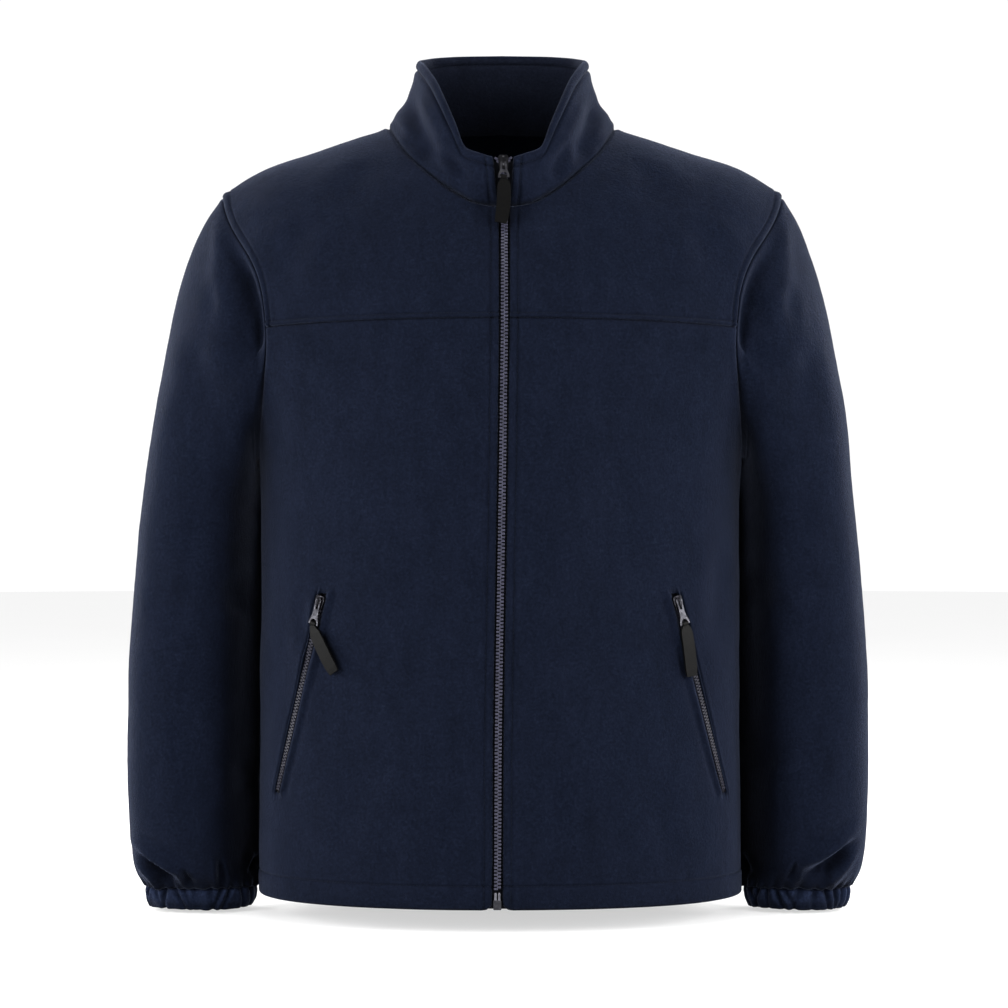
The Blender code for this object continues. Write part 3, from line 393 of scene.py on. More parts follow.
def graded(total, step, first=None, last=None, extra=()):
    """Positions 0..total, close together near the ends and at extra places."""
    first = np.array([0.0]) if first is None else first
    last = np.array([0.0]) if last is None else last
    a, b = first[-1], total - last[-1]
    n = max(1, int(round((b - a) / step)))
    places = [first, np.linspace(a, b, n + 1)[1:-1], total - last[::-1]]
    for at in extra:
        places.append(at + np.array([-1.8, -1.1, -.5, 0, .5, 1.1, 1.8]) * MM)
    out = np.unique(np.round(np.concatenate(places), 6))
    keep = [out[0]]
    for v in out[1:]:
        if v - keep[-1] > 0.00025:
            keep.append(v)
    keep[-1] = total
    return np.array(keep)


def to_keys(point, keys, places):
    """The parameter of each place along a guide line, given as point(keys)."""
    line = point(keys)
    run = np.concatenate([[0], np.cumsum(np.linalg.norm(np.diff(line, axis=0), axis=-1))])
    return np.interp(places, run, keys), run[-1]


def length_of(point, keys):
    return to_keys(point, keys, np.array([0.0]))[1]


def grid_normals(p, ring=False):
    if ring:
        q = np.concatenate([p[:, -2:-1], p, p[:, 1:2]], 1)
        du = q[:, 2:] - q[:, :-2]
    else:
        du = np.gradient(p, axis=1)
    dv = np.gradient(p, axis=0)
    n = np.cross(du, dv)
    size = np.linalg.norm(n, axis=-1, keepdims=True)
    return n / np.maximum(size, 1e-12)


def field_noise(p, scale, seed):
    """Smooth noise in space, -1..1, the same where pieces meet."""
    flat = (p.reshape(-1, 3) / scale + np.array([seed * 7.13, seed * 3.7, seed * 5.9]))
    out = np.fromiter((noise.noise(Vector(q)) for q in flat), float, len(flat))
    return out.reshape(p.shape[:-1])


# ------------------------------------------------------------------- creases
# A row per crease: from (x, z) to (x, z) in mm as seen from its side, its
# half width and depth in mm (minus is a ridge), and its bend sideways.
FOLDS = dict(cols=("where", "x0", "z0", "x1", "z1", "width", "depth", "bend"), rows=(
    # collar, seen from the front
    ("collar", -85, 26, -60, -44, 8.2, 4.8, 2.5),
    ("collar", -98, 4, -80, -30, 5.6, 2.2, 1.0),
    ("collar", -52, -34, -30, -60, 5.0, 2.4, -2.0),
    ("collar", 86, 24, 66, -40, 8.0, 4.6, -2.5),
    ("collar", 60, -24, 44, -58, 5.4, 2.2, 1.5),
    ("collar", 97, 0, 86, -30, 5.2, 1.8, -1.0),
    # body front
    ("front", -186, -430, -196, -530, 11.0, 1.6, 3.0),
    ("front", 193, -378, 190, -470, 10.0, 1.6, -3.0),
    ("front", -176, -196, -120, -214, 9.0, 0.9, 3.0),
    ("front", 180, -198, 128, -212, 9.0, 0.9, -3.0),
    ("front", -60, -330, -70, -520, 26.0, 0.9, 6.0),
    ("front", 96, -300, 88, -470, 24.0, 0.9, -5.0),
    ("front", -142, -640, -118, -560, 15.0, 1.0, 4.0),
    ("front", 150, -655, 132, -575, 14.0, 1.0, -4.0),
    ("front", 36, -560, 52, -655, 18.0, 0.7, 3.0),
    ("front", -34, -600, -46, -668, 14.0, 0.7, -3.0),
    ("front", -168, -92, -196, -148, 13.0, 1.4, 4.0),
    ("front", 168, -94, 192, -146, 13.0, 1.3, -4.0),
    ("front", -120, -36, -136, -84, 14.0, 1.0, 3.0),
    ("front", 118, -34, 139, -80, 13.0, 1.0, -3.0),
    # back
    ("back", -170, -250, -128, -330, 15.0, 2.6, 5.0),
    ("back", 172, -246, 134, -322, 15.0, 2.4, -5.0),
    ("back", -178, -205, -140, -262, 12.0, 1.9, 4.0),
    ("back", 180, -200, 146, -250, 12.0, 1.8, -4.0),
    ("back", -92, -130, -60, -320, 22.0, 1.6, 6.0),
    ("back", 88, -140, 66, -300, 22.0, 1.5, -6.0),
    ("back", -122, -420, -134, -610, 20.0, 1.8, -6.0),
    ("back", 118, -440, 138, -600, 20.0, 1.8, 6.0),
    ("back", -30, -470, -44, -640, 22.0, 1.3, 4.0),
    ("back", 44, -500, 52, -655, 20.0, 1.2, -4.0),
    ("back", -70, -6, -26, -26, 10.0, 1.3, 3.0),
    ("back", 66, -8, 20, -30, 10.0, 1.2, -3.0),
    # sleeves, mirrored x: outward is larger; "arm" front half, "rear" back half
    ("arm_left", 330, -664, 298, -690, 5.2, 8.0, 1.5),
    ("arm_left", 338, -649, 292, -681, 6.5, -3.2, 1.5),
    ("arm_left", 290, -674, 283, -690, 2.8, 3.0, 0.0),
    ("arm_left", 257, -666, 255, -691, 2.8, 3.2, 0.0),
    ("arm_left", 233, -684, 224, -668, 3.4, 4.4, 0.0),
    ("arm_left", 236, -448, 246, -410, 9.0, 1.8, 2.0),
    ("arm_left", 244, -578, 232, -610, 9.0, 1.6, 2.0),
    ("arm_left", 226, -386, 286, -360, 14.0, 1.5, 4.0),
    ("arm_left", 300, -540, 262, -562, 16.0, 1.4, -4.0),
    ("arm_left", 320, -424, 284, -452, 15.0, 1.2, 4.0),
    ("arm_left", 262, -150, 250, -205, 9.0, 1.0, 3.0),
    ("arm_left", 246, -84, 230, -152, 10.0, 4.6, 2.0),
    ("arm_left", 233, -136, 222, -232, 13.0, 7.0, 1.0),
    ("arm_right", 246, -86, 232, -150, 9.5, 4.2, 2.0),
    ("arm_right", 233, -138, 223, -230, 13.0, 6.6, 1.0),
    ("front", -177, -418, -173, -476, 5.5, 1.5, 1.0),
    ("arm_left", 283, -196, 262, -262, 13.0, 1.6, 4.0),
    ("arm_right", 318, -651, 276, -684, 6.4, 7.5, -2.0),
    ("arm_right", 324, -637, 272, -672, 7.0, -2.8, -2.0),
    ("arm_right", 268, -666, 262, -686, 2.8, 3.0, 0.0),
    ("arm_right", 223, -667, 228, -685, 3.2, 3.6, 0.0),
    ("arm_right", 297, -674, 292, -690, 2.8, 2.4, 0.0),
    ("arm_right", 242, -402, 238, -440, 10.0, 1.7, 2.0),
    ("arm_right", 236, -590, 248, -552, 9.0, 1.4, 2.0),
    ("arm_right", 228, -372, 284, -350, 14.0, 1.4, 4.0),
    ("arm_right", 304, -520, 266, -548, 16.0, 1.3, -4.0),
    ("arm_right", 260, -152, 250, -210, 9.0, 1.6, 3.0),
    ("arm_right", 286, -204, 264, -268, 13.0, 1.5, 4.0),
    ("rear_left", 322, -660, 300, -688, 5.0, 3.4, 2.0),
    ("rear_left", 280, -664, 276, -687, 3.6, 2.2, 0.0),
    ("rear_left", 250, -668, 255, -687, 3.6, 2.4, 0.0),
    ("rear_left", 262, -300, 310, -350, 16.0, 2.4, 5.0),
    ("rear_left", 250, -398, 326, -420, 18.0, 2.2, -6.0),
    ("rear_left", 258, -500, 322, -470, 17.0, 1.6, 5.0),
    ("rear_right", 324, -658, 302, -688, 5.0, 3.2, -2.0),
    ("rear_right", 284, -666, 280, -687, 3.6, 2.0, 0.0),
    ("rear_right", 252, -664, 256, -687, 3.6, 2.6, 0.0),
    ("rear_right", 260, -310, 312, -356, 16.0, 2.2, 5.0),
    ("rear_right", 252, -408, 324, -432, 18.0, 2.0, -6.0),
    ("rear_right", 256, -512, 320, -486, 17.0, 1.5, 5.0)))


def creases(p, where, xs=1.0):
    """Displacement (outward, m) at points p from the creases of one region."""
    gain = {"front": 1.7, "back": 1.3, "collar": 1.35}.get(where, 1.4)
    out = np.zeros(p.shape[:-1])
    px, pz = p[..., 0] * xs, p[..., 2]
    for row in FOLDS["rows"]:
        if row[0] != where:
            continue
        x0, z0, x1, z1, width, depth, bend = (v * MM for v in row[1:])
        dx, dz = x1 - x0, z1 - z0
        size = math.hypot(dx, dz)
        t = ((px - x0) * dx + (pz - z0) * dz) / size ** 2
        d = ((px - x0) * dz - (pz - z0) * dx) / size
        d = d - bend * 4 * np.clip(t, 0, 1) * (1 - np.clip(t, 0, 1))
        along = smooth((t + 0.12) / 0.45) * smooth((1.12 - t) / 0.40)
        w = width * (0.75 + 0.5 * smooth(t))
        q = d / w
        out += depth * along * (-np.exp(-q * q) + 0.38 * np.exp(-((np.abs(q) - 1.9) / 0.85) ** 2))
    return out * gain


# --------------------------------------------------------------- seam profiles
def butt(e, deep=1.5, wide=1.4, swell=0.35):
    """A seam's edge that rolls down into the join."""
    return (-deep * bell(e, wide * MM) + swell * bell(e - 4.5 * MM, 2.8 * MM)) * MM


def topstitched(e, at, lip=0.9, deep=1.4, groove=0.7):
    """A lip beside the seam, then the groove of a row of stitches."""
    return (-deep * bell(e, 1.0 * MM) + lip * bell(e - 0.5 * at, 0.42 * at)
            - groove * bell(e - at, 1.0 * MM)
            + 0.3 * bell(e - at - 3.2 * MM, 1.8 * MM)) * MM


def folded(e, r):
    """How far a folded edge of radius r curves in, at distance e from it."""
    e = np.clip(e / r, 0, 1)
    return r * (1 - np.sqrt(np.maximum(0.0, 1 - (1 - e) ** 2)))


# ------------------------------------------------------------ building a shell
def make_mesh(name, points, faces, mats, smooth_shade=True, indices=None):
    mesh = bpy.data.meshes.new(name)
    mesh.from_pydata(points.tolist() if hasattr(points, "tolist") else points, [],
                     faces.tolist() if hasattr(faces, "tolist") else faces)
    for m in mats:
        mesh.materials.append(m)
    if indices is not None:
        mesh.polygons.foreach_set("material_index", np.asarray(indices, np.int32))
    if smooth_shade:
        mesh.polygons.foreach_set("use_smooth", np.ones(len(mesh.polygons), bool))
    mesh.update()
    obj = bpy.data.objects.new(name, mesh)
    bpy.context.scene.collection.objects.link(obj)
    return obj


def shell(name, outer, inner, mats, ring=False, live=None):
    """A closed thin cloth piece between two grids of points."""
    if ring:
        outer, inner = outer[:, :-1], inner[:, :-1]
    R, C = outer.shape[:2]
    idx = np.arange(R * C).reshape(R, C)
    nxt = np.roll(idx, -1, 1) if ring else idx[:, 1:]
    here = idx if ring else idx[:, :-1]
    a, b, c, d = here[:-1], nxt[:-1], nxt[1:], here[1:]
    live = np.ones(a.shape, bool) if live is None else live
    n = R * C
    faces = [np.stack([a, b, c, d], -1)[live], np.stack([a, d, c, b], -1)[live] + n]
    pad = np.pad(live, ((1, 1), (0, 0)))
    top = pad[1:] & ~pad[:-1]                       # live below, nothing above
    low = pad[:-1] & ~pad[1:]
    p, q = here[top], nxt[top]
    faces.append(np.stack([q, p, p + n, q + n], -1))
    p, q = here[low], nxt[low]
    faces.append(np.stack([p, q, q + n, p + n], -1))
    if ring:
        before = np.roll(live, 1, 1)
        left, right = live & ~before, before & ~live
        p, q = idx[:-1][left], idx[1:][left]
        faces.append(np.stack([p, q, q + n, p + n], -1))
        p, q = idx[:-1][right], idx[1:][right]
        faces.append(np.stack([q, p, p + n, q + n], -1))
    else:
        pad = np.pad(live, ((0, 0), (1, 1)))
        left, right = pad[:, 1:] & ~pad[:, :-1], pad[:, :-1] & ~pad[:, 1:]
        p, q = idx[:-1][left], idx[1:][left]
        faces.append(np.stack([p, q, q + n, p + n], -1))
        p, q = idx[:-1][right], idx[1:][right]
        faces.append(np.stack([q, p, p + n, q + n], -1))
    faces = np.concatenate([f.reshape(-1, 4) for f in faces])
    points = np.concatenate([outer.reshape(-1, 3), inner.reshape(-1, 3)])
    used, faces = np.unique(faces, return_inverse=True)
    faces = faces.reshape(-1, 4)
    points = points[used]
    m = points.mean(0)
    v = points[faces] - m
    six = (v[:, 0] * np.cross(v[:, 1], v[:, 2])).sum() + (v[:, 0] * np.cross(v[:, 2], v[:, 3])).sum()
    if six < 0:
        faces = faces[:, ::-1]
    return make_mesh(name, points, faces, mats)


class Cloth:
    """A fine grid on the form, with its distances to its own four edges."""

    def __init__(self, points, ring=False, face=None):
        self.base = swayed(points)
        self.ring = ring
        self.n = grid_normals(self.base, ring)
        for end, beside in ((0, 1), (-1, -2)):   # where a side's points fall together
            close = np.linalg.norm(self.base[:, end] - self.base[:, beside], axis=-1) < 1e-4
            self.n[close, end] = self.n[close, beside]
        middle = self.base.reshape(-1, 3).mean(0) if face is None else np.asarray(face)
        r, c = self.base.shape[0] // 2, self.base.shape[1] // 2
        if ((self.base[r, c] - middle) @ self.n[r, c]) < 0:
            self.n = -self.n
        down = lengths(self.base, 0)
        over = lengths(self.base, 1)
        self.top, self.bottom = down, down[-1:] - down
        self.left, self.right = over, over[:, -1:] - over
        self.shape = np.zeros(self.base.shape[:2])
        self.skin = np.zeros_like(self.shape)
        self.under = np.zeros_like(self.shape)
        self.wall = np.full_like(self.shape, WALL)
        self.slide = np.zeros_like(self.base)

    def soften(self):
        """The soft unevenness of a thick knitted pile cloth."""
        p = self.base
        self.shape += 0.0011 * field_noise(p, 0.105, 1) + 0.00045 * field_noise(p, 0.036, 2)
        self.skin += 0.00016 * field_noise(p, 0.0085, 3)

    def done(self):
        n = self.n
        self.outer = self.base + self.slide + n * (self.shape + self.skin)[..., None]
        self.inner = self.base + self.slide + n * (self.shape - self.wall + self.under)[..., None]
        return self

    def line(self, which, distance, c0=0.0, c1=1.0, n=None):
        """Points on the finished face a set distance from one edge."""
        dist = {"top": self.top, "bottom": self.bottom, "left": self.left,
                "right": self.right}[which]
        P, N = self.outer, self.n
        if which in ("left", "right"):
            dist, P, N = dist.T, P.transpose(1, 0, 2), N.transpose(1, 0, 2)
        if which in ("bottom", "right"):
            dist, P, N = dist[::-1], P[::-1], N[::-1]
        cols = dist.shape[1]
        pts, nrm = [], []
        for j in range(int(c0 * (cols - 1)), int(c1 * (cols - 1)) + 1):
            at = distance[j] if hasattr(distance, "__len__") else distance
            i = int(np.clip(np.searchsorted(dist[:, j], at) - 1, 0, len(dist) - 2))
            t = (at - dist[i, j]) / max(dist[i + 1, j] - dist[i, j], 1e-9)
            pts.append(P[i, j] * (1 - t) + P[i + 1, j] * t)
            nrm.append(N[i, j] * (1 - t) + N[i + 1, j] * t)
        return np.array(pts), np.array(nrm)


# ------------------------------------------------------------------ materials
def new_material(name, colour, roughness, metallic=0.0, **sockets):
    m = bpy.data.materials.new(name)
    m.use_nodes = True
    m.diffuse_color = (*colour, 1)
    bsdf = m.node_tree.nodes["Principled BSDF"]
    bsdf.inputs["Base Color"].default_value = (*colour, 1)
    bsdf.inputs["Roughness"].default_value = roughness
    bsdf.inputs["Metallic"].default_value = metallic
    for key, value in sockets.items():
        socket = bsdf.inputs[key.replace("_", " ")]
        socket.default_value = (*value, 1) if isinstance(value, tuple) else value
    return m, m.node_tree.nodes, m.node_tree.links, bsdf


def coordinates(nodes, links, scale):
    tex = nodes.new("ShaderNodeTexCoord")
    mapping = nodes.new("ShaderNodeMapping")
    mapping.inputs["Scale"].default_value = scale
    links.new(tex.outputs["Object"], mapping.inputs["Vector"])
    return mapping.outputs["Vector"]


def noise_node(nodes, links, vector, scale, detail, roughness=0.5):
    n = nodes.new("ShaderNodeTexNoise")
    n.inputs["Scale"].default_value = scale
    n.inputs["Detail"].default_value = detail
    n.inputs["Roughness"].default_value = roughness
    links.new(vector, n.inputs["Vector"])
    return n.outputs["Fac"]


def ramp(nodes, links, value, stops):
    r = nodes.new("ShaderNodeValToRGB")
    r.color_ramp.elements[0].position, r.color_ramp.elements[1].position = (
        stops[0][0], stops[-1][0])
    r.color_ramp.elements[0].color = (*stops[0][1], 1)
    r.color_ramp.elements[1].color = (*stops[-1][1], 1)
    for at, colour in stops[1:-1]:
        r.color_ramp.elements.new(at).color = (*colour, 1)
    links.new(value, r.inputs["Fac"])
    return r.outputs["Color"]


def mixed(nodes, links, kind, a, b, factor):
    n = nodes.new("ShaderNodeMix")
    n.data_type, n.blend_type = "RGBA", kind
    n.inputs[0].default_value = factor
    links.new(a, n.inputs[6])
    links.new(b, n.inputs[7])
    return n.outputs[2]


def added(nodes, links, a, b, wa, wb):
    first = nodes.new("ShaderNodeMath")
    first.operation = "MULTIPLY"
    first.inputs[1].default_value = wa
    links.new(a, first.inputs[0])
    second = nodes.new("ShaderNodeMath")
    second.operation = "MULTIPLY_ADD"
    second.inputs[1].default_value = wb
    links.new(b, second.inputs[0])
    links.new(first.outputs[0], second.inputs[2])
    return second.outputs[0]


def bump(nodes, links, bsdf, height, strength, distance):
    b = nodes.new("ShaderNodeBump")
    b.inputs["Strength"].default_value = strength
    b.inputs["Distance"].default_value = distance
    links.new(height, b.inputs["Height"])
    links.new(b.outputs["Normal"], bsdf.inputs["Normal"])


NAVY, NAVY_DARK, NAVY_PALE = (0.0036, 0.0055, 0.0127), (0.0029, 0.0045, 0.0104), (
    0.0046, 0.0068, 0.0153)


def fleece_material(name, shade=1.0, shade_fall=None):
    """Short brushed pile: cloudy where the nap turns, tufted close to, with painted shade in its
    hollows.
    """
    m, nodes, links, bsdf = new_material(
        name, NAVY, 0.95, Specular_IOR_Level=0.04, Sheen_Weight=0.115,
        Sheen_Roughness=0.30, Sheen_Tint=(0.54, 0.64, 1.0))
    base = coordinates(nodes, links, (1, 1, 1))
    lay = coordinates(nodes, links, (1.0, 1.0, 0.42))
    clouds = noise_node(nodes, links, lay, 60, 6, 0.66)
    tufts = noise_node(nodes, links, base, 430, 5, 0.70)
    fibres = noise_node(nodes, links, base, 2600, 2, 0.6)
    k = shade
    colour = ramp(nodes, links, clouds, (
        (0.30, tuple(c * k for c in NAVY_DARK)), (0.52, tuple(c * k for c in NAVY)),
        (0.78, tuple(c * k for c in NAVY_PALE))))
    fine = ramp(nodes, links, tufts, ((0.30, (0.42, 0.43, 0.47)), (0.52, (1.0, 1.0, 1.0)),
                                      (0.74, (2.10, 2.02, 1.85))))
    cloth_colour = mixed(nodes, links, "MULTIPLY", colour, fine, 0.75)
    # painted shade: an occlusion node darkens the base colour, deepest in folds, seams and between
    # sleeve and body
    crevice_shade = nodes.new("ShaderNodeAmbientOcclusion")
    crevice_shade.samples = 8
    crevice_shade.inputs["Distance"].default_value = 0.050
    cloth_colour = mixed(nodes, links, "MULTIPLY", cloth_colour, ramp(
        nodes, links, crevice_shade.outputs["AO"],
        ((0.22, (0.05, 0.05, 0.05)), (0.50, (0.42, 0.42, 0.42)), (0.82, (1.0, 1.0, 1.0)))),
        1.0)
    # painted shade: the base colour gets darker lower down, standing in for the neck's shadow
    if shade_fall:                       # darker lower down, where the neck shades it
        parts = nodes.new("ShaderNodeSeparateXYZ")
        links.new(base, parts.inputs[0])
        height = nodes.new("ShaderNodeMapRange")
        height.inputs["From Min"].default_value = shade_fall[0]
        height.inputs["From Max"].default_value = shade_fall[1]
        links.new(parts.outputs["Z"], height.inputs["Value"])
        cloth_colour = mixed(nodes, links, "MULTIPLY", cloth_colour, ramp(
            nodes, links, height.outputs["Result"],
            ((0.0, (0.22, 0.20, 0.17)), (0.55, (0.62, 0.56, 0.47)), (1.0, (1.15, 1.0, 0.85)))),
            1.0)
    links.new(cloth_colour, bsdf.inputs["Base Color"])
    bump(nodes, links, bsdf, added(nodes, links, tufts, fibres, 1.0, 0.30), 0.60, 0.0016)
    return m


def tape_material():
    m, nodes, links, bsdf = new_material(
        "woven_tape", (0.0032, 0.0036, 0.0056), 0.85, Specular_IOR_Level=0.08,
        Sheen_Weight=0.03, Sheen_Roughness=0.4)
    v = coordinates(nodes, links, (1, 1, 1))
    waves = nodes.new("ShaderNodeTexWave")
    waves.bands_direction = "Z"
    waves.inputs["Scale"].default_value = 420
    waves.inputs["Distortion"].default_value = 1.5
    links.new(v, waves.inputs["Vector"])
    grain = noise_node(nodes, links, v, 1500, 2)
    links.new(ramp(nodes, links, grain, ((0.3, (0.0020, 0.0024, 0.0040)),
                                         (0.7, (0.0052, 0.0058, 0.0090)))),
              bsdf.inputs["Base Color"])
    bump(nodes, links, bsdf, added(nodes, links, waves.outputs["Fac"], grain, 0.7, 0.4),
         0.6, 0.0004)
    return m


def thread_material():
    m, nodes, links, bsdf = new_material(
        "navy_thread", (0.0042, 0.0062, 0.0130), 0.70, Specular_IOR_Level=0.08)
    v = coordinates(nodes, links, (1, 1, 1))
    twist = noise_node(nodes, links, v, 3200, 1)
    links.new(ramp(nodes, links, twist, ((0.35, (0.0030, 0.0046, 0.0096)),
                                         (0.7, (0.0058, 0.0082, 0.0165)))),
              bsdf.inputs["Base Color"])
    bump(nodes, links, bsdf, twist, 0.5, 0.0002)
    return m


def teeth_material(name, k):
    m, nodes, links, bsdf = new_material(
        name, (0.027 * k, 0.027 * k, 0.046 * k), 0.34, Specular_IOR_Level=0.26 * min(k, 1),
        Coat_Weight=0.05 * min(k, 1), Coat_Roughness=0.25)
    v = coordinates(nodes, links, (1, 1, 1))
    wear = noise_node(nodes, links, v, 340, 3)
    links.new(ramp(nodes, links, wear, ((0.3, (0.018 * k, 0.018 * k, 0.031 * k)),
                                        (0.7, (0.040 * k, 0.040 * k, 0.066 * k)))),
              bsdf.inputs["Base Color"])
    bump(nodes, links, bsdf, noise_node(nodes, links, v, 1800, 2), 0.15, 0.0002)
    return m


def metal_material(name, k):
    m, nodes, links, bsdf = new_material(
        name, (0.042 * k, 0.042 * k, 0.048 * k), 0.26, 1.0)
    v = coordinates(nodes, links, (1, 1, 1))
    cloud = noise_node(nodes, links, v, 260, 4)
    links.new(ramp(nodes, links, cloud, ((0.3, (0.028 * k, 0.028 * k, 0.033 * k)),
                                         (0.7, (0.056 * k, 0.056 * k, 0.064 * k)))),
              bsdf.inputs["Base Color"])
    links.new(ramp(nodes, links, cloud, ((0.3, (0.11, 0.11, 0.11)),
                                         (0.7, (0.22, 0.22, 0.22)))),
              bsdf.inputs["Roughness"])
    bump(nodes, links, bsdf, noise_node(nodes, links, v, 900, 2), 0.08, 0.0002)
    return m


def strap_material():
    m, nodes, links, bsdf = new_material(
        "strap_black", (0.0016, 0.0016, 0.0018), 0.50, Specular_IOR_Level=0.065)
    v = coordinates(nodes, links, (1, 1, 1))
    grain = noise_node(nodes, links, v, 700, 3)
    links.new(ramp(nodes, links, grain, ((0.3, (0.0010, 0.0010, 0.0011)),
                                         (0.7, (0.0023, 0.0023, 0.0024)))),
              bsdf.inputs["Base Color"])
    bump(nodes, links, bsdf, grain, 0.25, 0.0003)
    return m


FLEECE = fleece_material("navy_fleece")
TAPE, THREAD, TEETH, METAL, STRAP = (
    tape_material(), thread_material(), teeth_material("grey_teeth", 1.0),
    metal_material("gunmetal", 1.0), strap_material())
COIL = teeth_material("pocket_teeth", 0.34)
BRIGHT = metal_material("polished_gunmetal", 3.4)
# painted light: the cuffs' fleece is a copy 3.3 times brighter, standing in for light they lack
CUFF_LIT_FLEECE = fleece_material("navy_fleece_cuff_painted_light", 3.30)
# painted shade: a copy of the fleece darkened lower down, for the collar's inside
NECK_SHADE_FLEECE = fleece_material("navy_fleece_neck_painted_shade", 1.22, (-0.035, 0.072))
sides = (("left", -1), ("right", 1))

# --------------------------------------------------------------- fronts (cloth)
ZIP_STITCH = 7.2 * MM          # from a front's folded edge to its stitches
HEM_STITCH = 21.0 * MM
POCKET_PATH = dict(cols=("z", "left", "right"), rows=(   # where the slit's line
    (-0.697, 0.2040, 0.2045), (-0.640, 0.2032, 0.2038),  # runs on above and below
    (-0.600, 0.1992, 0.1998), (-0.427, 0.1577, 0.1537),
    (-0.302, 0.1285, 0.1215), (-0.180, 0.1060, 0.0980)))
SLIT_OUT, SLIT_IN = 3.2, 3.4   # mm from the chain's middle to the cloth
ACROSS_SLIT = np.array([-15, -12.5, -10.5, -9, -8, -7.2, -6.4, -5.7, -5.1, -4.6, -4.2,
                        -3.9, -3.6, -3.4, -1.2, 1.2, 3.2, 3.4, 3.7, 4.1, 4.6, 5.1,
                        5.6, 6.0, 6.5, 7.2, 8.2, 9.6, 11.5, 14]) * MM


BY_SIDE = np.array([0, .5, 1.1, 1.9, 2.9, 4.2, 5.6, 7.0, 8.1, 8.8, 9.5, 10.6, 12.2,
                    14.5]) * MM


def front_rows(sign, s):
    """Each row of a front: its ends, the plan's half width, and its height."""
    arm = arm_point(1, np.minimum(s, 16), "front")
    xo, zo = arm[..., 0], arm[..., 2]
    level = np.clip((s - 8) / 8.0, 0, 1)
    z_row = ROW_T("z", s)
    upper = s < 16
    zc = np.where(upper, CHEST_Z + (ROW_T("z", 16) - CHEST_Z) * level, z_row)
    w_low = BODY_T("w", chest_line(0.218) - z_row)
    w = np.where(upper, np.maximum(xo, BODY_T("w", np.maximum(0, chest_line(xo) - zo))),
                 w_low)
    x1 = np.where(upper, xo, w_low)
    return sign * zip_x(zc) + EDGE, x1, w, zc, level, zo, upper, z_row


def front_grid(sign, s, step):
    x0, x1, w, zc, level, zo, upper, z_row = front_rows(sign, s)
    side = "left" if sign < 0 else "right"
    rows = sorted(POCKET_PATH["rows"])
    xp = np.interp(zc, [r[0] for r in rows], [r[1 if sign < 0 else 2] for r in rows])
    e = TORSO_N / 2

    def angle(x):
        return np.arcsin(np.minimum(1.0, np.maximum(x, 0) / w) ** e)
    ta, tb, tp = angle(x0), angle(x1), angle(xp)
    depth = np.array([BODY_T("front", np.maximum(0, chest_line(x) - z))
                      for x, z in zip(xp, zc)])

    def at(t):
        return w * np.sin(t) ** (1 / e), depth * np.cos(t) ** (1 / e)
    (xa, ya), (xb, yb) = at(tp - 0.004), at(tp + 0.004)
    metric = np.hypot(xb - xa, yb - ya) / 0.008
    room = np.minimum(1.0, (tb - tp) * metric / 0.0150)
    near = ACROSS_SLIT[None, :] * np.where(ACROSS_SLIT[None, :] > 0, room[:, None], 1.0)
    tm = tp[:, None] + near / metric[:, None]
    na = max(3, int(round(0.135 / step)))
    first = NEAR / 0.135
    ua = np.unique(np.concatenate([first[first < 0.12], np.linspace(0.12, 1, na)]))[:-1]
    inner = ta[:, None] + (tm[:, :1] - ta[:, None]) * ua[None, :]
    outer = []
    for i in range(len(s)):
        line = np.linspace(min(tm[i, -1], tb[i]), tb[i], 160)
        f = np.sin(line) ** (1 / e) * w[i], np.cos(line) ** (1 / e) * depth[i]
        run = np.concatenate([[0], np.cumsum(np.hypot(np.diff(f[0]), np.diff(f[1])))])
        edge_room = BY_SIDE * min(1.0, 0.72 * run[-1] / BY_SIDE[-1])
        spots = np.concatenate([np.linspace(0, run[-1] - edge_room[-1], 13)[1:],
                                run[-1] - edge_room[-2::-1]])
        outer.append(np.interp(spots, run, line))
    outer = np.array(outer)
    t = np.concatenate([inner, tm, outer], 1)
    t = np.minimum(t, tb[:, None])
    x = w[:, None] * np.sin(t) ** (1 / e)
    x[:, -1] = x1
    z = np.where(upper[:, None], zo[:, None] + (chest_line(x) - chest_line(x1)[:, None])
                 * (1 - level[:, None]), z_row[:, None])
    p = below(sign * x, z, "front")
    p[:, -1] = np.where(upper[:, None], arm_point(sign, np.minimum(s, 16), "front"),
                        vec(sign * x1, 0.0, z_row))
    a = np.concatenate([np.full(inner.shape[1], -1.0), ACROSS_SLIT,
                        np.full(outer.shape[1], 1.0)])
    return p, a


def row_keys(first_s, last_s, c_guide, step, point, extra=(), first=NEAR, last=NEAR):
    keys = np.linspace(first_s, last_s, 400)

    def guide(k):
        return point(k, np.full_like(k, c_guide))
    total = length_of(guide, keys)
    run = np.concatenate([[0], np.cumsum(np.linalg.norm(np.diff(guide(keys), axis=0), axis=-1))])
    spots = [float(np.interp(k, keys, run)) for k in extra]
    places = graded(total, step, first, last, spots)
    out = np.interp(places, run, keys)
    out[0], out[-1] = first_s, last_s
    return out


def s_of_z(z):
    s = np.linspace(16, 26, 2001)
    return float(np.interp(-z, -ROW_T("z", s), s))


SLIT_TOP, SLIT_LOW = -0.4225, -0.6015
HEM_NEAR = np.concatenate([CLOSE, np.array([8, 11, 14, 16.5, 18.2, 19.4, 20.2, 21, 21.8,
                                            22.6, 23.8, 25.6]) * MM])


def guide_front(k, c):
    z = np.where(k < 16, CHEST_Z + (ROW_T("z", 16) - CHEST_Z) * (k - 8) / 8, ROW_T("z", k))
    return vec(0 * z, 0 * z, z)


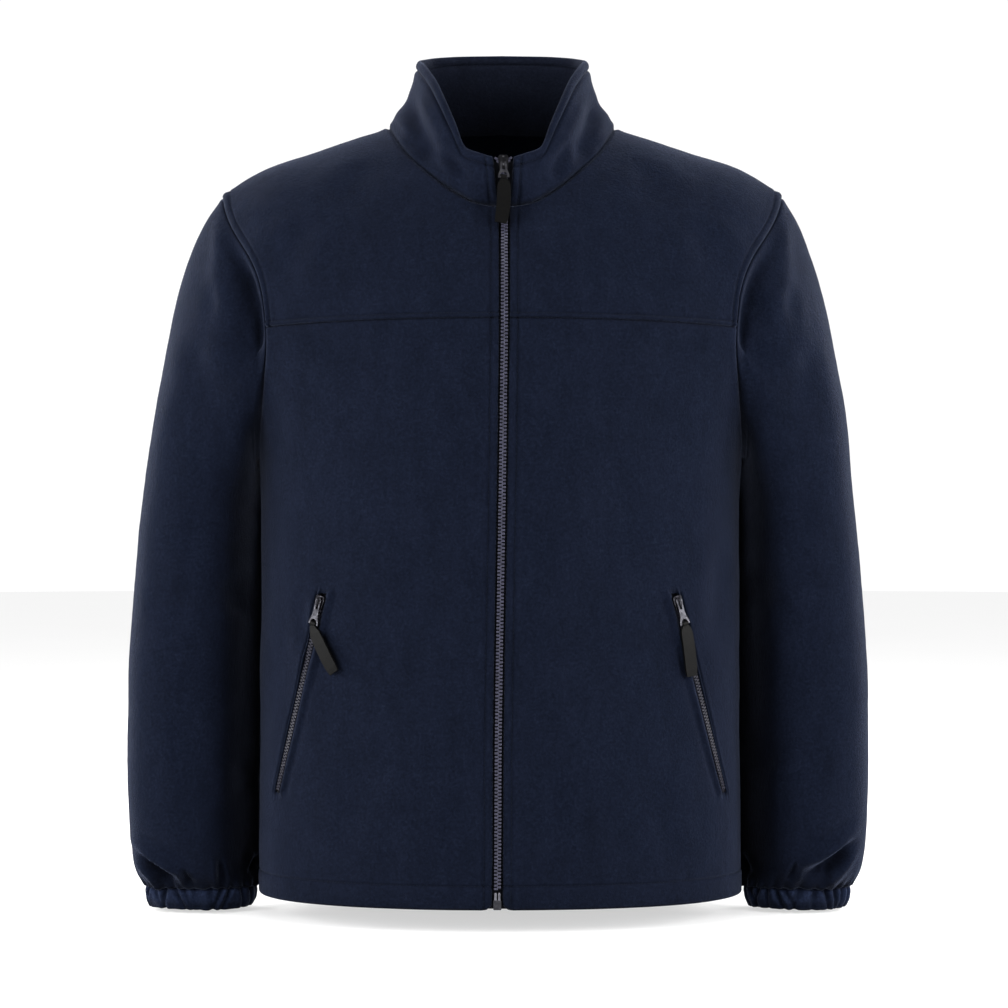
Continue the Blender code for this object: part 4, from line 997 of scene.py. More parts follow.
FRONT_S = row_keys(8, 26, 4, 0.0031, guide_front, last=HEM_NEAR,
                   extra=(s_of_z(SLIT_TOP), s_of_z(SLIT_LOW)))
YOKE_C = row_keys(0, 8, 5, 0.0034, lambda c, s: yoke_point(1, s, c))
YOKE_S = row_keys(0, 8, 3.5, 0.0034, lambda s, c: yoke_point(1, s, c), first=CLOSE,
                  extra=(6.0,))
BACK_S = row_keys(0, 26, 12.0, 0.0040, back_point, first=NEAR, last=HEM_NEAR)
BACK_C = row_keys(0, 24, 18, 0.0040, lambda c, s: back_point(s, c), first=NEAR, last=NEAR)
SLEEVE_A = np.linspace(0, 32, 169)
SLEEVE_K = row_keys(0, 13, 4, 0.0034, lambda k, a: sleeve_point(1, k, a), first=CLOSE,
                    last=np.array([0, .5, 1.1, 1.8, 2.8, 4, 5.4, 7, 8.8, 10.8, 13, 15.5]) * MM)
CUFF_A = np.linspace(0, 32, 209)
CUFF_K = np.array([0, .03, .08, .15, .24, .36, .5, .64, .78, .92, 1.06, 1.2, 1.34, 1.48,
                   1.6, 1.70, 1.78, 1.84, 1.89, 1.93, 1.965, 2.0])
COLLAR_C = row_keys(0, 20, 0.6, 0.0027, collar_point, first=NEAR, last=NEAR)
COLLAR_H = row_keys(0, 1, 9, 0.0027, lambda h, c: collar_point(c, h), first=CLOSE,
                    last=np.concatenate([CLOSE, np.array([6.8, 7.7, 8.4, 9, 9.6, 10.3, 11.4,
                                                          13]) * MM]))
cloth, grids, ACROSS = {}, {}, {}
for name, sign in sides:
    points, across_slit = front_grid(sign, FRONT_S, 0.0034)
    grids["front_" + name] = Cloth(points, face=(0, 0, -0.4))
    ACROSS["front_" + name] = across_slit
    S, C = np.meshgrid(YOKE_S, YOKE_C, indexing="ij")
    grids["yoke_" + name] = Cloth(yoke_point(sign, S, C), face=(0, 0, -0.15))
    K, A = np.meshgrid(SLEEVE_K, SLEEVE_A, indexing="ij")
    grids["sleeve_" + name] = Cloth(sleeve_point(sign, K, A), ring=True,
                                    face=(sign * 0.275, 0.02, -0.38))
    K, A = np.meshgrid(CUFF_K, CUFF_A, indexing="ij")
    points = cuff_point(sign, K, A)
    points[..., 2] += SEAM_GAP
    grids["cuff_" + name] = Cloth(points, ring=True, face=(sign * 0.275, 0.024, -0.705))
S, C = np.meshgrid(BACK_S, BACK_C, indexing="ij")
grids["back"] = Cloth(back_point(S, C), face=(0, 0, -0.35))
H, C = np.meshgrid(COLLAR_H, COLLAR_C, indexing="ij")
grids["collar"] = Cloth(collar_point(C, H), face=(0, 0, -0.02))


def share_normals(reach=0.0035, fade=0.006):
    """Pieces that meet at a seam turn down into it together, with no gap."""
    rims = {}
    for piece, c in grids.items():
        edges = {"top": (c.base[0], c.n[0]), "bottom": (c.base[-1], c.n[-1])}
        if not c.ring:
            edges["left"] = (c.base[:, 0], c.n[:, 0])
            edges["right"] = (c.base[:, -1], c.n[:, -1])
        if piece.startswith(("front", "back", "cuff", "collar")):
            edges.pop("bottom")
        if piece.startswith("front"):
            edges.pop("left")
        if piece == "collar":
            edges.pop("left"), edges.pop("right")
        rims[piece] = edges
    trees = {}
    for piece, edges in rims.items():
        P = np.concatenate([e[0] for e in edges.values()])
        N = np.concatenate([e[1] for e in edges.values()])
        tree = kdtree.KDTree(len(P))
        for i, q in enumerate(P):
            tree.insert(q, i)
        tree.balance()
        trees[piece] = (tree, N)
    turned = {}
    for piece, edges in rims.items():
        c = grids[piece]
        total, weight = np.zeros_like(c.n), np.zeros(c.n.shape[:2])
        for which, (P, N) in edges.items():
            new, met = N.copy(), np.zeros(len(P))
            for i, q in enumerate(P):
                for other, (tree, M) in trees.items():
                    if other == piece:
                        continue
                    _, j, d = tree.find(q)
                    if d is not None and d < reach:
                        new[i] += M[j]
                        met[i] = 1
            new /= np.maximum(np.linalg.norm(new, axis=1, keepdims=True), 1e-9)
            away = {"top": c.top, "bottom": c.bottom, "left": c.left, "right": c.right}[which]
            w = np.exp(-(away / fade) ** 2)
            if which in ("top", "bottom"):
                w, change = w * met[None, :], (new - N)[None, :]
            else:
                w, change = w * met[:, None], (new - N)[:, None]
            total += w[..., None] * change
            weight += w
        n = c.n + total / np.maximum(1.0, weight)[..., None]
        turned[piece] = n / np.maximum(np.linalg.norm(n, axis=-1, keepdims=True), 1e-9)
    for piece, n in turned.items():
        grids[piece].n = n


share_normals()


def hem(c):
    e = c.bottom
    c.skin += (-1.35 * bell(e - HEM_STITCH, 1.15 * MM) + 0.45 * bell(e - 16 * MM, 4 * MM)
               + 0.35 * bell(e - 6 * MM, 6 * MM) - 0.35 * bell(e - 26 * MM, 3 * MM)) * MM
    c.wall = WALL + (HEM_WALL - WALL) * smooth((22.0 * MM - e) / (2.5 * MM))
    c.skin -= folded(e, 2.1 * MM)
    c.under += folded(e, 1.8 * MM)


def zip_edge(c, weight=1.0, edge=None):
    e = c.left if edge is None else edge
    c.skin += weight * (-1.15 * bell(e - ZIP_STITCH, 1.05 * MM)
                        + 0.55 * bell(e - 3.6 * MM, 2.2 * MM)
                        + 0.40 * bell(e - 10.5 * MM, 2.2 * MM)) * MM
    c.skin -= weight * folded(e, 1.3 * MM)
    c.under += weight * folded(e, 1.0 * MM)
    c.wall = c.wall + weight * 0.6 * MM * smooth((9 * MM - e) / (2 * MM))


for name, sign in sides:
    a = ACROSS["front_" + name]
    c = grids["front_" + name]
    c.soften()
    fade = smooth(c.right / (9 * MM))
    c.shape += creases(c.base, "front") * fade
    z = c.base[..., 2]
    hem(c)
    zip_edge(c)
    c.slide[..., 2] += 4.0 * MM * bell(c.left, 3.6 * MM) * bell(c.bottom, 6.0 * MM)
    c.skin += butt(c.top, 1.0, 1.1, 0.25) + butt(c.right, 1.2, 1.3, 0.3)
    # the pocket's opening: a lip and stitches on the side, a soft fold inside
    inside = smooth((SLIT_TOP + 0.006 - z) / 0.008) * smooth((z - SLIT_LOW + 0.006) / 0.008)
    A = np.broadcast_to(a, z.shape) / MM
    out_e, in_e = np.abs(A) - SLIT_OUT, np.abs(A) - SLIT_IN
    c.skin += inside * np.where(A > 0, (
        1.15 * bell(out_e - 1.1, 1.1) - 1.15 * bell(out_e - 3.3, 0.85)
        + 0.35 * bell(out_e - 5.8, 1.8)), (
        2.1 * bell(in_e - 4.0, 2.5) - 0.85 * bell(in_e - 9.0, 2.3))) * MM
    if sign < 0:                   # pressed in a little where the strap lies on it
        c.shape -= 1.3 * MM * bell(c.base[..., 0] + 0.151, 0.015) * bell(z + 0.4725, 0.027)
    edge = np.clip(np.where(A > 0, out_e, in_e), 0, None) * MM
    c.skin -= inside * folded(edge, 1.0 * MM)
    c.under += inside * folded(edge, 0.9 * MM)
    c.done()
    A4 = (a[:-1] + a[1:]) / 2 / MM
    z4 = (z[:-1, :-1] + z[1:, 1:]) / 2
    live = ~((np.abs(np.where(A4 > 0, A4 / SLIT_OUT, A4 / SLIT_IN)) < 0.999)[None, :]
             & (z4 < SLIT_TOP) & (z4 > SLIT_LOW))
    c.slit = (a, z)
    cloth["front_" + name] = (c, shell("front_" + name + "_cloth", c.outer, c.inner,
                                       [FLEECE], live=live))

# --------------------------------------------------------------- yokes (cloth)
for name, sign in sides:
    S, C = np.meshgrid(YOKE_S, YOKE_C, indexing="ij")
    c = grids["yoke_" + name]
    c.soften()
    c.shape += creases(c.base, "front") * smooth(c.right / (9 * MM))
    at_zip = smooth((S - 5.75) / 0.5)
    zip_edge(c, at_zip)
    c.skin += (1 - at_zip) * (butt(c.left, 1.7, 1.7, 0.5)
                              - 0.25 * bell(c.left - 5.2 * MM, 1.0 * MM) * MM)
    c.skin += butt(c.top, 1.0, 1.2, 0.3)
    c.skin += topstitched(c.bottom, 4.5 * MM, 1.10, 1.6, 0.7)
    c.skin += topstitched(c.right, 8.8 * MM * (0.62 + 0.38 * smooth((8 - S) / 5.0)),
                          1.5, 1.5, 0.65)
    c.done()
    cloth["yoke_" + name] = (c, shell("yoke_" + name + "_cloth", c.outer, c.inner, [FLEECE]))

# ----------------------------------------------------------------- back (cloth)
S, C = np.meshgrid(BACK_S, BACK_C, indexing="ij")
c = grids["back"]
c.soften()
arm = smooth((16.3 - S) / 0.8)
c.shape += creases(c.base, "back") * smooth(np.minimum(c.left, c.right) / (9 * MM))
hem(c)
for e in (c.left, c.right):
    c.skin += arm * topstitched(e, 8.8 * MM, 1.4, 1.5, 0.6) + (1 - arm) * butt(e, 1.2, 1.3, 0.3)
neck = smooth((np.abs(C - 12) - 4.3) / -0.5)
c.skin += butt(c.top, 1.4, 1.5, 0.4) - neck * 0.3 * bell(c.top - 5 * MM, 1 * MM) * MM
c.done()
cloth["back"] = (c, shell("back_cloth", c.outer, c.inner, [FLEECE]))

# --------------------------------------------------------------- sleeves, cuffs
GATHERS = dict(cols=("side", "a", "width", "deep", "rise"), rows=(
    (-1, 1.0, 0.34, 1.3, 9), (-1, 2.3, 0.30, 1.6, 12), (-1, 3.7, 0.34, 1.2, 8),
    (-1, 5.1, 0.30, 1.7, 14), (-1, 6.2, 0.26, 1.9, 10), (-1, 7.0, 0.24, 1.6, 13),
    (-1, 7.8, 0.24, 1.4, 7), (-1, 9.0, 0.30, 1.5, 9), (-1, 10.0, 0.26, 2.1, 19),
    (-1, 10.9, 0.26, 1.7, 9), (-1, 12.4, 0.30, 1.4, 16), (-1, 13.9, 0.32, 1.6, 8),
    (-1, 15.6, 0.34, 1.3, 12), (-1, 17.2, 0.30, 1.8, 10), (-1, 18.9, 0.30, 1.4, 15),
    (-1, 20.2, 0.26, 1.9, 9), (-1, 21.6, 0.30, 1.5, 13), (-1, 22.8, 0.24, 1.6, 8),
    (-1, 24.3, 0.30, 1.9, 17), (-1, 25.4, 0.26, 1.4, 9), (-1, 26.9, 0.30, 1.6, 12),
    (-1, 28.3, 0.28, 1.8, 10), (-1, 29.6, 0.30, 1.4, 14), (-1, 31.0, 0.32, 1.5, 8),
    (1, 0.8, 0.32, 1.4, 10), (1, 2.1, 0.30, 1.5, 9), (1, 3.5, 0.30, 1.3, 12),
    (1, 4.8, 0.28, 1.6, 9), (1, 5.9, 0.28, 1.8, 12), (1, 6.9, 0.24, 1.5, 8),
    (1, 8.1, 0.26, 1.7, 14), (1, 9.3, 0.26, 1.6, 9), (1, 10.2, 0.26, 2.0, 16),
    (1, 11.2, 0.26, 1.5, 8), (1, 12.3, 0.28, 1.8, 13), (1, 13.6, 0.32, 1.5, 10),
    (1, 15.2, 0.34, 1.4, 9), (1, 16.9, 0.30, 1.6, 12), (1, 18.4, 0.30, 1.5, 9),
    (1, 19.8, 0.28, 1.8, 15), (1, 21.2, 0.28, 1.6, 9), (1, 22.7, 0.26, 1.4, 11),
    (1, 23.9, 0.28, 1.9, 13), (1, 25.3, 0.28, 1.5, 8), (1, 26.6, 0.28, 1.7, 16),
    (1, 28.0, 0.30, 1.5, 9), (1, 29.4, 0.28, 1.7, 12), (1, 30.8, 0.30, 1.4, 9)))


def gathered(sign, a, e, band):
    """Flutes of the elasticated edge: e is the distance from the cuff's seam."""
    out = np.zeros(a.shape)
    for side, at, width, deep, rise in GATHERS["rows"]:
        if side != sign:
            continue
        d = np.abs(np.mod(a - at + 16, 32) - 16)
        if band:
            k = 1.75 * deep * (1 - 0.55 * smooth((e - 0.002) / 0.017))
            lean = 0.9 * math.sin(7.3 * at) * (e / 0.019)
            d = np.abs(np.mod(a - at - lean + 16, 32) - 16)
            out += k * (-bell(d, 0.72 * width) + 0.34 * bell(d - 0.55, 0.34))
        else:
            k = deep * np.exp(-(e / (rise * MM)) ** 1.3) * 1.5
            w = width * (1 + 1.1 * np.minimum(1, e / 0.020))
            out += k * (-bell(d, w) + 0.40 * bell(d - 0.62, 0.40))
    return out * MM


for name, sign in sides:
    K, A = np.meshgrid(SLEEVE_K, SLEEVE_A, indexing="ij")
    c = grids["sleeve_" + name]
    c.soften()
    p = c.base
    front_half = smooth((SLEEVE_T("yc", K) - p[..., 1]) / 0.030 + 0.5)
    # the inner side lies in behind the body's widest line, and hides the gap
    x, y, z = sign * (p[..., 0] - SWAY_T("x", p[..., 2])), p[..., 1], p[..., 2]
    w = BODY_T("w", np.maximum(0, chest_line(0.218) - z))
    d = np.where(y > 0, BODY_T("back", np.maximum(0, chest_line(0.218) - z)),
                 BODY_T("front", np.maximum(0, chest_line(0.218) - z)))
    innermost = np.min(x, axis=1, keepdims=True)
    need = np.clip(innermost - (w - 0.0030), 0, 0.012) * smooth((-0.293 - z) / 0.005)
    wall_x = w * np.maximum(0, 1 - np.minimum(1, np.abs(y) / d) ** TORSO_N) ** (1 / TORSO_N)
    inward = smooth((-sign * c.n[..., 0] + 0.15) / 0.5)
    move = need * np.exp(-((y - 0.036) / 0.034) ** 2) * inward
    move = np.minimum(move, np.maximum(0, x - wall_x - 0.0016))
    c.slide[..., 0] -= sign * move
    # and its front turns away deeply where it hangs beside the body
    beside = np.exp(-(np.maximum(0, x - w) / 0.027) ** 1.6)
    c.slide[..., 1] += 0.034 * beside * smooth((0.036 - y) / 0.062) * smooth(
        (-0.292 - z) / 0.060) * smooth((z + 0.700) / 0.030) * smooth(c.top / 0.014)
    # the sleeve's head stands a little fuller
    c.shape += (2.2 if sign < 0 else 1.0) * MM * bell(z + 0.125, 0.055) * smooth(
        sign * c.n[..., 0]) * smooth(c.top / 0.02)
    near = smooth(c.top / 0.014)
    c.shape += near * (creases(p, "arm_" + name, sign) * front_half
                       + creases(p, "rear_" + name, sign) * (1 - front_half))
    e = c.top
    c.shape += (-1.9 * bell(e, 5.0 * MM) + 0.8 * bell(e - 15 * MM, 9 * MM)) * MM * smooth(
        (A - 0.5) / 2) * smooth((31.5 - A) / 2)
    # the deep hollow beside the lower half of the armhole's front
    c.shape -= 11.0 * MM * bell(e - 12 * MM, 10 * MM) * smooth(e / (9 * MM)) * front_half * (
        smooth((-0.085 - z) / 0.080) * smooth((z + 0.235) / 0.050) * smooth(
            (0.245 - x) / 0.020))
    c.skin += butt(e, 1.4, 1.3, 0.2)
    c.shape += gathered(sign, A, c.bottom, False)
    c.skin += butt(c.bottom, 1.3, 1.1, 0.3)
    c.done()
    cloth["sleeve_" + name] = (c, shell("sleeve_" + name + "_cloth", c.outer, c.inner,
                                        [FLEECE], ring=True))
    K, A = np.meshgrid(CUFF_K, CUFF_A, indexing="ij")
    c = grids["cuff_" + name]
    c.soften()
    c.shape += gathered(sign, A, c.top, True)
    c.skin += butt(c.top, 1.3, 1.0, 0.4) + 0.5 * MM * bell(c.top - 10 * MM, 6 * MM)
    c.skin -= folded(c.bottom, 1.6 * MM)
    c.under += folded(c.bottom, 1.4 * MM)
    c.slide[..., 2] += 0.0005 * np.sin(A / 32 * 2 * np.pi * 3 + sign) * smooth(K - 1)
    c.wall = np.full_like(c.wall, CUFF_WALL)
    c.done()
    cloth["cuff_" + name] = (c, shell("cuff_" + name + "_cloth", c.outer, c.inner,
                                      [CUFF_LIT_FLEECE], ring=True))

# ---------------------------------------------------------------- collar (cloth)
COLLAR_STITCH = 9.0 * MM
H, C = np.meshgrid(COLLAR_H, COLLAR_C, indexing="ij")
c = grids["collar"]
c.soften()
c.shape += creases(c.base, "collar") * smooth(c.top / (4 * MM)) * smooth(c.bottom / (9 * MM))
ends = np.minimum(c.left, c.right)
c.wall = np.full_like(c.wall, COLLAR_WALL)
c.skin += butt(c.top, 1.7, 1.8, 0.8)
rim = (-1.6 * bell(c.bottom - COLLAR_STITCH, 1.25 * MM)
       + 1.15 * bell(c.bottom - 4.6 * MM, 3.0 * MM)
       + 0.55 * bell(c.bottom - 13.5 * MM, 3.2 * MM)) * MM
c.skin += rim
c.under -= 0.9 * rim
zip_edge(c, 1.0, ends)
c.skin -= folded(c.bottom, 2.3 * MM)
c.under += folded(c.bottom, 2.3 * MM)
c.done()
collar = shell("collar_cloth", c.outer, c.inner, [FLEECE, NECK_SHADE_FLEECE])
# the facing inside the neck gets the fleece with painted shade
for face in collar.data.polygons:        # the facing that shows inside the neck
    at, out = face.center, face.normal
    if at.x * out.x + (at.y - 0.010) * out.y < -0.0004 and out.z > -0.75 and at.z < 0.074:
        face.material_index = 1
cloth["collar"] = (c, collar)

# ------------------------------------------------------------ rows of stitches
CAPSULE = []
for along, r in ((-1.10, 0.0), (-0.98, 0.15), (-0.60, 0.24), (0.60, 0.24), (0.98, 0.15),
                 (1.10, 0.0)):
    ring6 = [(r * math.cos(math.radians(a)), r * math.sin(math.radians(a)))
             for a in range(0, 360, 72)]
    CAPSULE.append([(x, along, z) for x, z in ring6] if r else [(0.0, along, 0.0)])


def capsule_template():
    points, faces, n = [], [], 5
    starts = []
    for ring5 in CAPSULE:
        starts.append(len(points))
        points += ring5
    for i in range(n):
        j = (i + 1) % n
        faces.append((0, 1 + j, 1 + i, 1 + i))
        for k in (1, 2, 3):
            a, b = starts[k], starts[k + 1]
            faces.append((a + i, a + j, b + j, b + i))
        a = starts[4]
        faces.append((a + i, a + j, starts[5], starts[5]))
    return np.array(points) * MM, [tuple(dict.fromkeys(f)) for f in faces]


def stamp(name, template, spots, mats, body="root", indices=None, smooth_shade=True):
    """One joined mesh of a template set down at many (origin, x, y, z) frames."""
    points, faces = template
    O = np.array([s[0] for s in spots])
    X, Y, Z = (np.array([s[k] for s in spots]) for k in (1, 2, 3))
    P = (O[:, None, :] + points[None, :, :1] * X[:, None, :]
         + points[None, :, 1:2] * Y[:, None, :] + points[None, :, 2:] * Z[:, None, :])
    n = len(points)
    F = [tuple(v + n * k for v in f) for k in range(len(spots)) for f in faces]
    m = None if indices is None else list(indices) * len(spots)
    obj = make_mesh(name, P.reshape(-1, 3), F, mats, smooth_shade, m)
    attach(obj, body)
    return obj


def resampled(points, normals, pitch, start=0.5):
    """Frames (origin, across, along, out) at an even pitch along a line."""
    run = np.concatenate([[0], np.cumsum(np.linalg.norm(np.diff(points, axis=0), axis=1))])
    count = int((run[-1] - start * pitch) / pitch)
    at = start * pitch + pitch * np.arange(max(count, 1))
    P = np.stack([np.interp(at, run, points[:, k]) for k in range(3)], 1)
    N = np.stack([np.interp(at, run, normals[:, k]) for k in range(3)], 1)
    ahead = np.stack([np.interp(at + pitch * 0.4, run, points[:, k]) for k in range(3)], 1)
    behind = np.stack([np.interp(at - pitch * 0.4, run, points[:, k]) for k in range(3)], 1)
    T = ahead - behind
    T /= np.maximum(np.linalg.norm(T, axis=1, keepdims=True), 1e-9)
    N -= T * (N * T).sum(1, keepdims=True)
    N /= np.maximum(np.linalg.norm(N, axis=1, keepdims=True), 1e-9)
    X = np.cross(T, N)
    return [(P[i], X[i], T[i], N[i]) for i in range(len(P))]


def stitched(line, keep=None, lift=0.10, pitch=3.0):
    points, normals = line
    if keep is not None:
        points, normals = points[keep], normals[keep]
    if len(points) < 3:
        return []
    return resampled(points + normals * lift * MM, normals, pitch * MM)


stitch_rows = {}


def sew(piece, *rows):
    stitch_rows.setdefault(piece, [])
    for r in rows:
        stitch_rows[piece] += r


def inner_line(c, which, distance):
    outer, normal = c.outer, c.n
    c.outer, c.n = c.inner, -normal
    line = c.line(which, distance)
    c.outer, c.n = outer, normal
    return line


for name, sign in sides:
    c = cloth["front_" + name][0]
    sew("front_" + name, stitched(c.line("left", ZIP_STITCH)),
        stitched(c.line("bottom", HEM_STITCH)))
    a, z = c.slit
    j = int(np.argmin(np.abs(a - 6.5 * MM)))
    i = int(np.argmin(np.abs(a + 7.2 * MM)))
    rows = np.where((z[:, j] < SLIT_TOP + 0.004) & (z[:, j] > SLIT_LOW - 0.004))[0]
    sew("front_" + name, stitched((c.outer[rows, j], c.n[rows, j])))
    for r in (rows[0], rows[-1]):
        between = np.where((a >= -6.5 * MM) & (a <= 6.6 * MM) & (a != 1.0) & (a != -1.0))[0]
        sew("front_" + name, stitched((c.outer[r, between], c.n[r, between])))
    y = cloth["yoke_" + name][0]
    right = y.line("right", np.array(
        [8.8 * MM * (0.62 + 0.38 * smooth((8 - s) / 5.0)) for s in YOKE_S]))
    sew("yoke_" + name, stitched(y.line("bottom", 4.5 * MM)), stitched(right),
        stitched(y.line("left", ZIP_STITCH), keep=YOKE_S > 6.2))
b = cloth["back"][0]
sew("back", stitched(b.line("left", 8.8 * MM), keep=BACK_S < 15.7),
    stitched(b.line("right", 8.8 * MM), keep=BACK_S < 15.7),
    stitched(b.line("bottom", HEM_STITCH)))
k = cloth["collar"][0]
sew("collar", stitched(k.line("bottom", COLLAR_STITCH)),
    stitched(inner_line(k, "bottom", COLLAR_STITCH)),
    stitched(k.line("left", ZIP_STITCH)), stitched(k.line("right", ZIP_STITCH)))
for piece, spots in stitch_rows.items():
    stamp(piece + "_stitches", capsule_template(), spots, [THREAD])

# -------------------------------------------------------------- the zips' teeth
def tooth_template(x0, x1, half, low, high, neck=0.0):
    """A moulded tooth: an eight-cornered block with its outer edges chamfered."""
    def outline(d, h):
        k = 0.35
        a0, a1 = x0 + d, x1 - d
        return [(a0, -h + k), (a0 + k, -h), (a1 - k, -h), (a1, -h + k),
                (a1, h - k), (a1 - k, h), (a0 + k, h), (a0, h - k)]
    levels = ((0.0, half, low), (0.0, half, high - 0.45), (0.10, half - 0.08, high - 0.14),
              (0.34, half - 0.30, high))
    points, faces = [], []
    for d, h, z in levels:
        points += [(x, y, z) for x, y in outline(d, h)]
    for level in range(3):
        for i in range(8):
            j = (i + 1) % 8
            faces.append((8 * level + i, 8 * level + j, 8 * level + 8 + j, 8 * level + 8 + i))
    faces.append(tuple(range(24, 32)))
    faces.append(tuple(range(7, -1, -1)))
    return np.array(points) * MM, faces


def along(points, outs, pitch, first, last):
    """Frames (origin, across, up, out) along a zip's middle line, bottom to top."""
    run = np.concatenate([[0], np.cumsum(np.linalg.norm(np.diff(points, axis=0), axis=1))])
    at = np.arange(first, (run[-1] if last is None else last), pitch)
    P = np.stack([np.interp(at, run, points[:, k]) for k in range(3)], 1)
    N = np.stack([np.interp(at, run, outs[:, k]) for k in range(3)], 1)
    T = np.stack([np.interp(at + 0.004, run, points[:, k])
                  - np.interp(at - 0.004, run, points[:, k]) for k in range(3)], 1)
    T /= np.linalg.norm(T, axis=1, keepdims=True)
    N -= T * (N * T).sum(1, keepdims=True)
    N /= np.linalg.norm(N, axis=1, keepdims=True)
    X = np.cross(T, N)
    X *= np.where(X[:, :1] < 0, -1, 1)
    return [(P[i], X[i], T[i], N[i]) for i in range(len(P))], run[-1]


def band(name, frames, a, c0, c1, mats, slot):
    """A closed flat strip along zip frames."""
    points, faces = [], []
    for o, x, t, n in frames:
        for u, v in ((-a, c0), (a, c0), (a, c1), (-a, c1)):
            points.append(o + x * u * MM + n * v * MM)
    for i in range(len(frames) - 1):
        for j in range(4):
            q = (j + 1) % 4
            faces.append((4 * i + j, 4 * i + q, 4 * i + 4 + q, 4 * i + 4 + j))
    e = 4 * (len(frames) - 1)
    faces += [(3, 2, 1, 0), (e, e + 1, e + 2, e + 3)]
    obj = make_mesh(name, np.array(points), faces, mats, False)
    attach(obj, "root")
    return obj


def smoothed(p, width):
    kernel = np.hanning(width + 2)[1:-1]
    kernel /= kernel.sum()
    pad = width // 2
    out = np.empty_like(p)
    for k in range(3):
        head = 2 * p[0, k] - p[pad:0:-1, k]
        tail = 2 * p[-1, k] - p[-2:-pad - 2:-1, k]
        out[:, k] = np.convolve(np.concatenate([head, p[:, k], tail]), kernel, "valid")
    return out


front_s = np.linspace(25.15, 8, 270)
edges = []
for sign in (-1, 1):
    x0 = front_rows(sign, front_s)
    w, zc, level, zo, upper, z_row, x1 = x0[2], x0[3], x0[4], x0[5], x0[6], x0[7], x0[1]
    x = x0[0]
    z = np.where(upper, zo + (chest_line(x) - chest_line(x1)) * (1 - level), z_row)
    low = below(sign * x, z, "front")
    mid = yoke_point(sign, np.linspace(8, 6.4, 24)[1:], np.zeros(23))
    hs = np.linspace(0.0, 0.93, 40)
    top = collar_point(np.full_like(hs, 0.0 if sign < 0 else 20.0), hs)
    edges.append(swayed(np.concatenate([low, mid, top])))
middle = (edges[0] + edges[1]) / 2
run = np.concatenate([[0], np.cumsum(np.linalg.norm(np.diff(middle, axis=0), axis=1))])
even = np.arange(0, run[-1], MM)
middle = smoothed(np.stack([np.interp(even, run, middle[:, q]) for q in range(3)], 1), 15)
T = np.gradient(middle, axis=0)
outs = np.cross(np.array([1.0, 0, 0]), T)
outs *= np.where(outs[:, 1:2] > 0, -1, 1)
outs /= np.linalg.norm(outs, axis=1, keepdims=True)
PITCH = 3.1 * MM
TOP_GAP = 9.0 * MM                     # where the slider spreads the two rows
frames_l, total = along(middle, outs, PITCH, 0.8 * MM, None)
top_run = total - 1.5 * MM
frames_l, _ = along(middle, outs, PITCH, 0.8 * MM, top_run)
frames_r, _ = along(middle, outs, PITCH, 0.8 * MM + PITCH / 2, top_run)
left_tooth = tooth_template(-3.0, 0.40, 0.92, -1.3, 0.50)
right_tooth = tooth_template(-0.40, 3.0, 0.92, -1.3, 0.50)
teeth_l = stamp("front_zip_teeth_left", left_tooth, frames_l, [TEETH],
                smooth_shade=False)
teeth_r = stamp("front_zip_teeth_right", right_tooth, frames_r, [TEETH],
                smooth_shade=False)
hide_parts("front_zip_chain")
core_frames, _ = along(middle, outs, 4 * MM, 0.2 * MM, top_run)
foot_tape, _ = along(swayed(below(zip_x(ROW_T("z", np.linspace(26, 23.4, 40))),
                                  ROW_T("z", np.linspace(26, 23.4, 40)), "front")),
                     np.tile(np.array([0.0, -1.0, 0.0]), (40, 1)), 5 * MM, 1.2 * MM, None)
band("front_zip_tape_foot", foot_tape, 11.0, -5.3, -4.5, [TAPE], "zip_tape")
band("front_zip_core", core_frames, 3.0, -1.9, -0.75, [TAPE], "zip_tape")
# the tops of the two rows, spread apart above the slider, and their stops
spread_teeth = []
for sign, tooth in ((-1, left_tooth), (1, right_tooth)):
    for n in range(2):
        o, x, t, nn = frames_l[-1]
        away = (4.6 + 1.5 * n) * MM
        lift = (1.2 + 2.6 * n) * MM
        turn = sign * math.radians(24)
        xx = x * math.cos(turn) + t * math.sin(turn)
        tt = t * math.cos(turn) - x * math.sin(turn)
        spread_teeth.append((sign, (o + x * sign * away + t * lift + nn * 0.2 * MM,
                                    xx, tt, nn)))
for sign, label, tooth in ((-1, "left", tooth_template(-1.6, 1.6, 0.95, -1.4, 0.7)),
                           (1, "right", tooth_template(-1.6, 1.6, 0.95, -1.4, 0.7))):
    stamp("front_zip_stop_" + label, tooth, [f for s, f in spread_teeth if s == sign],
          [TEETH], smooth_shade=False)

# the zip's foot: two pins that end in a small box between the hem's corners
foot_s = np.linspace(26, 25.0, 40)
foot = (below(-(-zip_x(ROW_T("z", foot_s))), ROW_T("z", foot_s), "front"))
foot = swayed(foot)
foot_out = np.tile(np.array([0.0, -1.0, 0.0]), (len(foot), 1))
box_frames, foot_run = along(foot, foot_out, 30 * MM, 4.9 * MM, None)
box = stamp("front_zip_box_cover", tooth_template(-3.5, 3.5, 4.3, -3.4, 0.35),
            box_frames[:1], [METAL], smooth_shade=False)
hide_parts("front_zip_box")
pin_frames, _ = along(foot, foot_out, 30 * MM, 12.2 * MM, None)
for label, x0, x1 in (("left", -2.7, -0.5), ("right", 0.5, 2.7)):
    stamp("front_zip_pin_" + label, tooth_template(x0, x1, 3.4, -1.6, 0.15),
          pin_frames[:1], [BRIGHT], smooth_shade=False)

